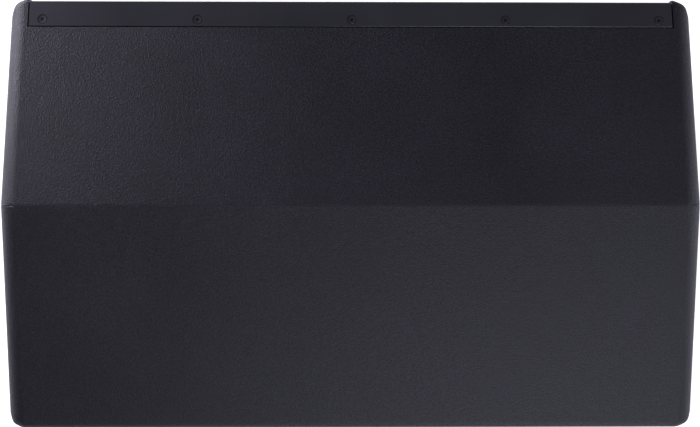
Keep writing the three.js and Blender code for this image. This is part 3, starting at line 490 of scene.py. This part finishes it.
def repaint(made, surface):
    """Gives an object one surface all over."""
    made.data.materials.clear()
    made.data.materials.append(surface)


def counterbores(places, radius, depth):
    """Flat-bottomed holes in the right-hand side's face for the heads of its screws."""
    profile = [(0, -depth), (radius, -depth), (radius, 0.002), (0, 0.002)]
    return [turned(profile, (half_width, y, z), (1, 0, 0), 24) for y, z in places]


plate_screw_radius = 0.0026
plate_screw_rise = 0.0014
for side, suffix in ((-1, "left"), (1, "right")):
    for end, (low, high) in plates.items():
        y = (low[1] + high[1]) / 2
        pocket_low = (low[1] + pocket_rim, low[2] + pocket_rim)
        pocket_high = (high[1] - pocket_rim, high[2] - pocket_rim)
        floor_depth = half_width - 0.016
        tip = low[0]
        bores = [pocket_low[1] + bore_inset, pocket_high[1] - bore_inset]
        face = slab((half_width - plate_gauge, low[1], low[2]), (half_width, high[1], high[2]),
                    0, 0.0044, 0.0004)
        g = plate_gauge
        tray = slab((floor_depth - g, pocket_low[0] - g, pocket_low[1] - g),
                    (half_width - g + 0.0002, pocket_high[0] + g, pocket_high[1] + g), 0, 0.0058)
        rings = [
            turned([(0, 0), (boss_radius, 0), (boss_radius, floor_depth - g - tip + 0.001),
                    (0, floor_depth - g - tip + 0.001)], (tip, y, z), (1, 0, 0), 32)
            for z in bores]
        plate = piece(face, f"rigging_{end}_{suffix}", rigging_black)
        for added in (tray, *rings):
            tool = piece(added, "added", body=None)
            union = plate.modifiers.new("weld", "BOOLEAN")
            union.operation = "UNION"
            union.solver = "EXACT"
            union.object = tool
            settle(plate)
            bpy.data.objects.remove(tool)
        hollow = slab((floor_depth, *pocket_low), (half_width + 0.01, *pocket_high), 0, pocket_corner)
        drills = [turned([(0, 0), (bore_radius, 0), (bore_radius, 0.04), (0, 0.04)],
                         (tip - 0.005, y, z), (1, 0, 0), 32) for z in bores]
        screws = [(y, z) for z in (low[2] + 0.004, middle, high[2] - 0.004)
                  for y in (low[1] + 0.004, high[1] - 0.004)]
        sinks = counterbores(screws, plate_screw_radius + 0.0004, plate_screw_rise + 0.0003)
        carve(plate, hollow, *drills, *sinks)
        on_side_shape = bmesh.new()
        on_side_shape.from_mesh(plate.data)
        on_side(on_side_shape, side).to_mesh(plate.data)
        on_side_shape.free()
        plate.data.shade_smooth()
        plate.data.set_sharp_from_angle(angle=math.radians(35))
        repaint(plate, rigging_black)
        even(plate)
        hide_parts(f"rigging_plate_{end}_{suffix}")
        for i, (at, z) in enumerate(screws):
            small_screw(side * (half_width - plate_screw_rise - 0.0002), at, z, (side, 0, 0),
                        f"rigging_screw_{end}_{suffix}_{i}", plate_screw_radius, plate_screw_rise)

# ---------------------------------------------------------------- rigging pins
# A ball-lock pin of plated steel in the upper bore of each pocket: a smooth shank with two
# locking balls, a knurled head with a push button, and a pull ring through the head.

pin_radius = 0.005
knurl_count = 40
ring_wire = 0.0011
button_red = finish(
    "red_button", [(0.26, 0.006, 0.005), (0.33, 0.009, 0.007)], (0.3, 0.4), mottle=300,
    bumps=[("noise", 0.001, 0.0001, 0.2)])

for side, suffix in ((-1, "left"), (1, "right")):
    for end in plates:
        low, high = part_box(f"rigging_pin_{end}_right")
        body = f"pin_{end}_{suffix}"
        centre = Vector((0, (low[1] + high[1]) / 2, (low[2] + high[2]) / 2))
        head_radius_pin = (high[2] - low[2]) / 2
        seat_x = half_width - 0.016 + 0.0003
        cap_x = high[0] - 0.0027
        shank = turned([
            (0, low[0]), (pin_radius - 0.0016, low[0]), (pin_radius - 0.0004, low[0] + 0.0012),
            (pin_radius, low[0] + 0.002), (pin_radius, seat_x + 0.001), (0, seat_x + 0.001)],
            centre, (1, 0, 0), 32)
        head = turned([
            (0, seat_x), (head_radius_pin - 0.0008, seat_x), (head_radius_pin, seat_x + 0.0008),
            (head_radius_pin, cap_x - 0.003), (head_radius_pin - 0.0016, cap_x - 0.0018),
            (head_radius_pin - 0.002, cap_x), (pin_radius + 0.0004, cap_x),
            (pin_radius, cap_x - 0.0006), (0, cap_x - 0.0006)], centre, (1, 0, 0), knurl_count * 2)
        for vert in head.verts:
            out = vert.co - centre
            out.x = 0
            step = round(math.atan2(out.z, out.y) / (math.pi / knurl_count))
            if step % 2 and out.length > head_radius_pin - 0.0009 and vert.co.x < cap_x - 0.002:
                vert.co -= out.normalized() * 0.00045
        balls = []
        for way in (-1, 1):
            ball = bmesh.new()
            bmesh.ops.create_uvsphere(
                ball, u_segments=12, v_segments=8, radius=0.0014,
                matrix=Matrix.Translation(centre + Vector((low[0] + 0.0030, way * 0.0040, 0))))
            balls.append(ball)
        ring = bmesh.new()
        ring_centre = centre + Vector((cap_x - 0.0005 + ring_wire, 0, 0))
        bmesh.ops.create_circle(
            ring, cap_ends=False, radius=ring_wire, segments=10,
            matrix=Matrix.Translation(ring_centre + Vector((0, 0, -0.0075)))
            @ Matrix.Rotation(math.pi / 2, 4, "Y"))
        bmesh.ops.rotate(ring, verts=ring.verts, cent=ring_centre + Vector((0, 0, -0.0075)),
                         matrix=Matrix.Rotation(math.pi / 2, 3, "Z"))
        bmesh.ops.spin(ring, geom=ring.verts[:] + ring.edges[:], cent=ring_centre, axis=(1, 0, 0),
                       angle=2 * math.pi, steps=40, use_merge=True)
        bmesh.ops.remove_doubles(ring, verts=ring.verts, dist=1e-6)
        bmesh.ops.recalc_face_normals(ring, faces=ring.faces)
        pin = piece(on_side(together(shank, head, *balls, ring), side), f"lock_pin_{end}_{suffix}",
                    worn_steel, body)
        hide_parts(f"rigging_pin_{end}_{suffix}")
        button = turned([
            (0, cap_x - 0.0008), (0.0034, cap_x - 0.0008), (0.0034, high[0] - 0.0008),
            (0.0028, high[0] - 0.0002), (0, high[0])], centre, (1, 0, 0), 24)
        piece(on_side(button, side), f"pin_button_{end}_{suffix}", button_red, body)

# ---------------------------------------------------------------- folding handles
# A deep moulded dish is let into each side, and a cast handle with a ribbed rubber grip folds
# flat into it on two pivots, held in by a light spring.

dish_plastic = finish(
    "moulded_plastic", [(0.0095, 0.0095, 0.0105), (0.0150, 0.0150, 0.0165)], (0.42, 0.55), mottle=55,
    bumps=[("cells", 0.0010, 0.00022, 0.35), ("noise", 0.0005, 0.0001, 0.3)], specular=0.4)
cast_black = finish(
    "cast_black", [(0.016, 0.016, 0.018), (0.026, 0.026, 0.028)], (0.34, 0.48), metallic=0.3,
    mottle=90, bumps=[("noise", 0.0012, 0.0002, 0.4)])
grip_rubber = finish(
    "grip_rubber", [(0.0075, 0.0075, 0.0080), (0.0125, 0.0125, 0.0130)], (0.62, 0.78), mottle=120,
    bumps=[("noise", 0.0006, 0.00012, 0.5)], specular=0.3)
dish_low, dish_high = dish
dish_rim = 0.010
dish_wall = 0.002
bail_low, bail_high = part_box("handle_bail_right")
pivot = Vector((bail_high[0] - 0.006, (bail_low[1] + bail_high[1]) / 2, bail_high[2] - 0.0045))
arm_half = 0.055
arm_gauge = 0.005
grip_radius = 0.006
grip_z = bail_low[2] + grip_radius
rib_pitch = 0.0045

for side, suffix in ((-1, "left"), (1, "right")):
    y0, z0 = dish_low[1] + dish_rim, dish_low[2] + dish_rim
    y1, z1 = dish_high[1] - dish_rim, dish_high[2] - dish_rim
    rim = slab((half_width - dish_wall, dish_low[1], dish_low[2]),
               (half_width, dish_high[1], dish_high[2]), 0, 0.0105, 0.0006, 8)
    shell_back = slab((dish_low[0], y0 - dish_wall, z0 - dish_wall),
                      (half_width - dish_wall + 0.0002, y1 + dish_wall, z1 + dish_wall), 0, 0.0085)
    cup = piece(rim, f"handle_cup_{suffix}", dish_plastic)
    tool = piece(shell_back, "added", body=None)
    union = cup.modifiers.new("mould", "BOOLEAN")
    union.operation = "UNION"
    union.solver = "EXACT"
    union.object = tool
    settle(cup)
    bpy.data.objects.remove(tool)
    hollow = slab((dish_low[0] + dish_wall, y0, z0), (half_width + 0.02, y1, z1), 0, 0.0065, 0.004, 6)
    lead_in = slab((half_width - 0.0012, y0 - 0.0012, z0 - 0.0012),
                   (half_width + 0.02, y1 + 0.0012, z1 + 0.0012), 0, 0.0078, 0.0011, 6)
    bore = turned([(0, 0), (0.0033, 0), (0.0033, 0.15), (0, 0.15)],
                  (pivot.x, dish_low[1] + 0.005, pivot.z), (0, 1, 0), 24)
    screws = [(y, z) for z in (dish_low[2] + 0.0052, dish_high[2] - 0.0052)
              for y in (dish_low[1] + 0.013, (y0 + y1) / 2, dish_high[1] - 0.013)]
    carve(cup, hollow, lead_in, bore, *counterbores(screws, 0.0031, 0.0013))
    turned_over = bmesh.new()
    turned_over.from_mesh(cup.data)
    on_side(turned_over, side).to_mesh(cup.data)
    turned_over.free()
    cup.data.shade_smooth()
    cup.data.set_sharp_from_angle(angle=math.radians(35))
    repaint(cup, dish_plastic)
    even(cup)
    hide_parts(f"handle_dish_{suffix}")
    for i, (y, z) in enumerate(screws):
        small_screw(side * (half_width - 0.0012), y, z, (side, 0, 0), f"cup_screw_{suffix}_{i}",
                    0.0027, 0.0010)

    arms = []
    for way in (-1, 1):
        outer_y = pivot.y + way * arm_half
        inner_y = outer_y - way * arm_gauge
        ends = sorted((outer_y, inner_y))
        arms.append(slab((pivot.x - 0.0045, ends[0], grip_z - 0.0045),
                         (pivot.x + 0.0045, ends[1], pivot.z + 0.0045), 1, 0.0042, 0.0007, 6))
        reach = bail_high[1] if way > 0 else bail_low[1]
        stub = sorted((inner_y, reach))
        arms.append(turned([(0, stub[0]), (0.003, stub[0]), (0.003, stub[1]), (0, stub[1])],
                           (pivot.x, 0, pivot.z), (0, 1, 0), 24))
        washer = sorted((outer_y, outer_y + way * 0.0012))
        arms.append(turned([(0, washer[0]), (0.0052, washer[0]), (0.0052, washer[1]), (0, washer[1])],
                           (pivot.x, 0, pivot.z), (0, 1, 0), 28))
    bail = piece(on_side(together(*arms), side), f"handle_arms_{suffix}", cast_black, f"handle_{suffix}")
    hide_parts(f"handle_bail_{suffix}")
    start, stop = pivot.y - arm_half + arm_gauge, pivot.y + arm_half - arm_gauge
    ribs = int((stop - start) / rib_pitch)
    profile = [(0, start), (grip_radius - 0.0006, start)]
    for i in range(ribs):
        base = start + (stop - start) * i / ribs
        step = (stop - start) / ribs
        profile += [(grip_radius - 0.0006, base + step * 0.15), (grip_radius, base + step * 0.3),
                    (grip_radius, base + step * 0.7), (grip_radius - 0.0006, base + step * 0.85)]
    profile += [(grip_radius - 0.0006, stop), (0, stop)]
    grip = turned(profile, (pivot.x, 0, grip_z), (0, 1, 0), 24)
    sleeve = piece(on_side(grip, side), f"handle_grip_{suffix}", grip_rubber, f"handle_{suffix}")

# ---------------------------------------------------------------- rear panel
# A powder-coated steel panel screwed over the opening in the rear board, with the sockets and the
# controls at its two ends and a black anodised heatsink between them.

panel_coat = finish(
    "panel_powder_coat", [(0.0105, 0.0105, 0.0120), (0.0165, 0.0165, 0.0180)], (0.40, 0.52), mottle=45,
    bumps=[("cells", 0.0007, 0.00016, 0.4), ("noise", 0.0004, 0.0001, 0.3)])
anodised = finish(
    "black_anodising", [(0.014, 0.014, 0.016), (0.024, 0.024, 0.027)], (0.30, 0.42), metallic=0.6,
    mottle=70, bumps=[("noise", 0.0004, 0.00006, 0.35)])
white_print = finish(
    "white_ink", [(0.62, 0.62, 0.62), (0.70, 0.70, 0.70)], (0.5, 0.6), mottle=400)
panel_low, panel_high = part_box("rear_panel")
panel_face = panel_high[1]
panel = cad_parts["rear_panel"]
repaint(panel, panel_coat)
for i in range(5):
    for j, z in enumerate((panel_low[2] + 0.007, panel_high[2] - 0.007)):
        x = panel_low[0] + 0.007 + (panel_high[0] - panel_low[0] - 0.014) * i / 4
        small_screw(x, panel_face, z, (0, 1, 0), f"panel_screw_{i}{j}", radius=0.0034)

sink_low, sink_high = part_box("heatsink")
sink_base = 0.004
fin_gauge = 0.002
fin_count = 14
fins = [slab(sink_low, (sink_high[0], sink_low[1] + sink_base, sink_high[2]), 1, 0.0006, 0.0003)]
fin_pitch = (sink_high[0] - sink_low[0] - fin_gauge) / (fin_count - 1)
for i in range(fin_count):
    x = sink_low[0] + fin_pitch * i
    fins.append(slab((x, sink_low[1] + sink_base - 0.0004, sink_low[2]),
                     (x + fin_gauge, sink_high[1], sink_high[2]), 2, 0.00075, 0.0002, 3))
sink = piece(together(*fins), "finned_heatsink", anodised)
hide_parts("heatsink")

# ---------------------------------------------------------------- sockets and controls
# Round chassis sockets for the signal, a locking mains inlet, a rocker switch and a level control
# with a ring of plain marks round it.

socket_metal = finish(
    "black_plated_casting", [(0.030, 0.030, 0.033), (0.048, 0.048, 0.052)], (0.28, 0.40), metallic=0.8,
    mottle=160, bumps=[("noise", 0.0006, 0.00008, 0.4)])
insert_plastic = finish(
    "contact_insert", [(0.008, 0.008, 0.009), (0.013, 0.013, 0.014)], (0.4, 0.5), mottle=200,
    bumps=[("noise", 0.0005, 0.00006, 0.3)])
inlet_blue = finish(
    "blue_insert", [(0.020, 0.085, 0.26), (0.028, 0.105, 0.31)], (0.35, 0.45), mottle=200,
    bumps=[("noise", 0.0006, 0.00008, 0.3)])
contact_metal = finish(
    "contact_plating", [(0.62, 0.54, 0.34), (0.72, 0.63, 0.42)], (0.22, 0.32), metallic=1.0, mottle=500)

sockets = (
    ("signal_input", 0.0086, socket_metal, insert_plastic, "holes"),
    ("signal_output", 0.0086, socket_metal, insert_plastic, "pins"),
    ("mains_inlet", 0.0098, insert_plastic, inlet_blue, "blades"),
)
for name, bore_size, casing, insert, contacts in sockets:
    low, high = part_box(name)
    x, z = (low[0] + high[0]) / 2, (low[2] + high[2]) / 2
    outer = high[1]
    floor_y = outer - 0.018
    flange = slab((low[0], outer - 0.002, low[2]), high, 1, 0.0025, 0.0005)
    body = piece(flange, f"{name}_casing", casing)
    barrel = turned([
        (bore_size, floor_y), (0.0118, floor_y), (0.0118, outer - 0.0019), (0.0112, outer - 0.0001),
        (bore_size + 0.0005, outer - 0.0001), (bore_size, outer - 0.0006), (bore_size, floor_y)],
        (x, 0, z), (0, 1, 0), 40)
    hole = turned([(0, floor_y - 0.001), (0.0115, floor_y - 0.001), (0.0115, outer + 0.004),
                   (0, outer + 0.004)], (x, 0, z), (0, 1, 0), 40)
    carve(body, hole)
    repaint(body, casing)
    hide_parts(name)
    piece(barrel, f"{name}_barrel", casing)
    depth = outer - 0.0012 if contacts == "holes" else floor_y + 0.003
    core_radius = bore_size - 0.0012 if contacts == "holes" else bore_size
    if contacts == "blades":
        core_radius, depth = bore_size - 0.0022, outer - 0.002
    core = turned([(0, floor_y - 0.004), (core_radius, floor_y - 0.004), (core_radius, depth - 0.0005),
                   (core_radius - 0.0005, depth), (0, depth)], (x, 0, z), (0, 1, 0), 36)
    heart = piece(core, f"{name}_insert", insert)
    back = turned([(0, floor_y - 0.006), (0.0118, floor_y - 0.006), (0.0118, floor_y + 0.0002),
                   (0, floor_y + 0.0002)], (x, 0, z), (0, 1, 0), 36)
    piece(back, f"{name}_back", casing)
    spots = [(0.0045 * math.cos(a), 0.0045 * math.sin(a))
             for a in (math.radians(210), math.radians(330), math.radians(90))]
    if contacts == "holes":
        carve(heart, *[turned([(0, floor_y), (0.0016, floor_y), (0.0016, outer + 0.002),
                               (0, outer + 0.002)], (x + dx, 0, z + dz), (0, 1, 0), 16)
                       for dx, dz in spots])
        repaint(heart, insert)
        tab = slab((x - 0.0028, outer - 0.0006, z + 0.0098), (x + 0.0028, outer + 0.0012, z + 0.0142),
                   1, 0.0009, 0.0004)
        piece(tab, f"{name}_latch", worn_steel)
    elif contacts == "pins":
        rods = [turned([(0, floor_y), (0.0012, floor_y), (0.0012, outer - 0.0052),
                        (0.0007, outer - 0.0045), (0, outer - 0.0045)],
                       (x + dx, 0, z - dz), (0, 1, 0), 14) for dx, dz in spots]
        piece(together(*rods), f"{name}_contacts", contact_metal)
    else:
        slots = [slab((x - 0.0007 + dx, floor_y + 0.004, z - 0.0022),
                      (x + 0.0007 + dx, outer + 0.001, z + 0.0022), 1, 0) for dx in (-0.0042, 0, 0.0042)]
        carve(heart, *slots)
        repaint(heart, insert)
    for way in (-1, 1):
        small_screw(x + way * 0.0098, outer - 0.0002, z + way * 0.0122, (0, 1, 0),
                    f"{name}_screw_{'low' if way < 0 else 'high'}", radius=0.0024)

knob_low, knob_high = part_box("level_knob")
knob_x, knob_z = (knob_low[0] + knob_high[0]) / 2, (knob_low[2] + knob_high[2]) / 2
knob_radius = (knob_high[0] - knob_low[0]) / 2
skirt = knob_high[1] - 0.013
flutes = 18
knob_shape = turned([
    (0, knob_low[1]), (0.003, knob_low[1]), (0.003, skirt), (knob_radius - 0.0004, skirt),
    (knob_radius, skirt + 0.0005), (knob_radius, skirt + 0.0022), (knob_radius - 0.0008, skirt + 0.003),
    (knob_radius - 0.0014, knob_high[1] - 0.0012), (knob_radius - 0.0024, knob_high[1]),
    (0, knob_high[1])], (knob_x, 0, knob_z), (0, 1, 0), flutes * 4)
for vert in knob_shape.verts:
    out = Vector((vert.co.x - knob_x, 0, vert.co.z - knob_z))
    step = round(math.atan2(out.z, out.x) / (math.pi / flutes / 2)) % 4
    if step in (0, 1) and vert.co.y > skirt + 0.0026 and out.length > knob_radius - 0.0026:
        vert.co -= out.normalized() * 0.0005
knob = piece(knob_shape, "fluted_knob", dish_plastic, "knob", crease=28)
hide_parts("level_knob")
pointer = slab((knob_x - 0.0004, knob_high[1] - 0.0003, knob_z + 0.0012),
               (knob_x + 0.0004, knob_high[1] + 0.00008, knob_z + 0.0052), 1, 0.0003)
piece(pointer, "knob_pointer", white_print, "knob")
marks = []
mark_count = 11
knob_sweep = 150
for i in range(mark_count):
    angle = math.radians(-knob_sweep + 2 * knob_sweep / (mark_count - 1) * i)
    mark = slab((-0.00025, panel_face - 0.0001, 0.0105),
                (0.00025, panel_face + 0.00006, 0.0132 if i % 5 == 0 else 0.0124), 1, 0)
    bmesh.ops.rotate(mark, verts=mark.verts, cent=(0, 0, 0), matrix=Matrix.Rotation(angle, 3, "Y"))
    bmesh.ops.translate(mark, verts=mark.verts, vec=(knob_x, 0, knob_z))
    marks.append(mark)
piece(together(*marks), "level_marks", white_print)

rocker_low, rocker_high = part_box("power_rocker")
rocker_x, rocker_z = (rocker_low[0] + rocker_high[0]) / 2, (rocker_low[2] + rocker_high[2]) / 2
rocker_half = (rocker_high[2] - rocker_low[2]) / 2
bezel = slab((rocker_x - 0.0088, panel_face, rocker_z - 0.0122),
             (rocker_x + 0.0088, panel_face + 0.0014, rocker_z + 0.0122), 1, 0.0016, 0.0005)
bezel_piece = piece(bezel, "rocker_bezel", insert_plastic)
carve(bezel_piece, slab((rocker_x - 0.0067, panel_face - 0.01, rocker_z - 0.0097),
                        (rocker_x + 0.0067, panel_face + 0.01, rocker_z + 0.0097), 1, 0.0004))
repaint(bezel_piece, insert_plastic)
back_y, rest_y = rocker_low[1], rocker_high[1] - 0.0008
cap_section = [
    (back_y, rocker_z - rocker_half + 0.002), (rest_y - 0.0006, rocker_z - rocker_half),
    (rest_y + 0.0007, rocker_z - rocker_half), (rest_y - 0.0002, rocker_z - rocker_half * 0.5),
    (rest_y - 0.0006, rocker_z), (rest_y - 0.0002, rocker_z + rocker_half * 0.5),
    (rest_y + 0.0007, rocker_z + rocker_half), (rest_y - 0.0006, rocker_z + rocker_half),
    (back_y, rocker_z + rocker_half - 0.002)]
cap_shape = prism(cap_section, rocker_low[0], rocker_high[0])
ends = [e for e in cap_shape.edges if abs(e.verts[0].co.x - e.verts[1].co.x) < 1e-6]
bmesh.ops.bevel(cap_shape, geom=ends, offset=0.0004, offset_type="OFFSET", segments=2, profile=0.5,
                affect="EDGES", material=-1)
cap = piece(cap_shape, "rocker_cap", insert_plastic, "rocker")
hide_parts("power_rocker")

# ---------------------------------------------------------------- drivers and electronics
# The works behind the grille and the panel: paper cones with rubber edges in cast baskets, ferrite
# motors with plated plates, the moulded waveguide and its compression driver, the reflex ports and
# the amplifier's board.

paper = finish(
    "coated_paper", [(0.0100, 0.0100, 0.0105), (0.0180, 0.0180, 0.0185)], (0.72, 0.86), mottle=260,
    bumps=[("noise", 0.0007, 0.0003, 0.5)], specular=0.3)
copper = finish(
    "enamelled_copper", [(0.46, 0.17, 0.07), (0.60, 0.25, 0.11)], (0.25, 0.36), metallic=0.9, mottle=700,
    bumps=[("noise", 0.0003, 0.0001, 0.5)])
cloth = finish(
    "resined_cloth", [(0.34, 0.22, 0.055), (0.46, 0.31, 0.09)], (0.75, 0.9), mottle=800,
    bumps=[("cells", 0.0006, 0.0003, 0.7)], specular=0.25)
ferrite_grey = finish(
    "ground_ferrite", [(0.035, 0.035, 0.037), (0.055, 0.055, 0.057)], (0.5, 0.65), mottle=120,
    bumps=[("noise", 0.001, 0.0002, 0.4)])
dome_metal = finish(
    "dome_metal", [(0.42, 0.42, 0.44), (0.52, 0.52, 0.55)], (0.25, 0.35), metallic=1.0, mottle=90,
    bumps=[("noise", 0.002, 0.0001, 0.2)])
board_green = finish(
    "solder_mask", [(0.010, 0.085, 0.035), (0.016, 0.120, 0.050)], (0.3, 0.45), mottle=180,
    bumps=[("noise", 0.0008, 0.0001, 0.3)])
surfaces = {
    "basket": cast_black, "surround": grip_rubber, "cone": paper, "dust_cap": paper,
    "voice_coil": copper, "spider": cloth, "top_plate": worn_steel, "magnet": ferrite_grey,
    "yoke": worn_steel,
}
for suffix in ("left", "right"):
    for part, surface in surfaces.items():
        repaint(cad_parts[f"woofer_{part}_{suffix}"], surface)
    repaint(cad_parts[f"port_duct_{suffix}"], dish_plastic)
for name, surface in (
    ("waveguide", dish_plastic), ("hf_front_plate", worn_steel), ("hf_magnet", ferrite_grey),
    ("hf_diaphragm", dome_metal), ("hf_cover", dish_plastic), ("amplifier_board", board_green),
):
    repaint(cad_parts[name], surface)

# ---------------------------------------------------------------- stage, light and camera
# A pale seamless floor under soft studio light, with the camera above the module and a little
# behind its ridge.

floor_reach = 6
floor_glow = 0.5
sky_strength = 0.10
floor_shape = bmesh.new()
bmesh.ops.create_grid(floor_shape, x_segments=1, y_segments=1, size=floor_reach)
floor = piece(
    floor_shape, "floor",
    finish("pale_floor", [(0.86, 0.86, 0.865), (0.88, 0.88, 0.885)], (0.7, 0.8), mottle=2), body=None)
floor_shader = floor.data.materials[0].node_tree.nodes["Principled BSDF"]
floor_shader.inputs["Emission Color"].default_value = (1, 1, 1, 1)
floor_shader.inputs["Emission Strength"].default_value = floor_glow


def lamp(name, place, target, size, power, colour=(1, 1, 1)):
    """A soft rectangular lamp aimed at a point."""
    light = bpy.data.lights.new(name, "AREA")
    light.shape = "RECTANGLE"
    light.size, light.size_y = size
    light.energy = power
    light.color = colour
    made = bpy.data.objects.new(name, light)
    made.location = place
    made.rotation_euler = (Vector(target) - Vector(place)).to_track_quat("-Z", "Y").to_euler()
    bpy.context.scene.collection.objects.link(made)


ridge_point = Vector((0, ridge, height))
lamp("rear_softbox", (-0.6, 1.7, 1.5), ridge_point, (0.8, 0.6), 39, (0.86, 0.86, 1))
lamp("front_left_softbox", (1.25, -0.75, 0.62), (0.2, -0.1, height), (0.5, 0.4), 34, (0.88, 0.85, 1))
lamp("right_softbox", (-1.9, 0.1, 0.8), ridge_point, (1.0, 0.8), 15, (0.85, 0.86, 1))
lamp("front_softbox", (-0.4, -2.2, 0.9), ridge_point, (1.6, 0.8), 3, (0.88, 0.86, 1))

world = bpy.data.worlds.new("studio")
world.use_nodes = True
sky = world.node_tree.nodes["Background"]
sky.inputs["Color"].default_value = (0.93, 0.95, 1.0, 1)
sky.inputs["Strength"].default_value = sky_strength
bpy.context.scene.world = world

camera_tilt = math.radians(8.4)
camera_distance = 0.720
camera_drift = math.radians(0.57)
camera_roll = math.radians(-0.07)
camera = bpy.data.objects.new("camera", bpy.data.cameras.new("camera"))
bpy.context.scene.collection.objects.link(camera)
camera.data.lens = 43.97
camera.data.sensor_width = 36
camera.data.shift_x = -0.0028
camera.data.shift_y = -0.0119
camera_way = Vector((math.sin(camera_drift), math.sin(camera_tilt), math.cos(camera_tilt)))
camera.location = ridge_point + camera_distance * camera_way
facing = (ridge_point - camera.location).normalized()
upward = Vector((0, -1, 0))
upward = (upward - facing * upward.dot(facing)).normalized()
across = facing.cross(upward)
axes = Matrix((across, upward, -facing)).transposed()
camera.rotation_euler = (axes @ Matrix.Rotation(camera_roll, 3, "Z")).to_euler()
bpy.context.scene.camera = camera
bpy.context.scene.view_settings.view_transform = "Standard"
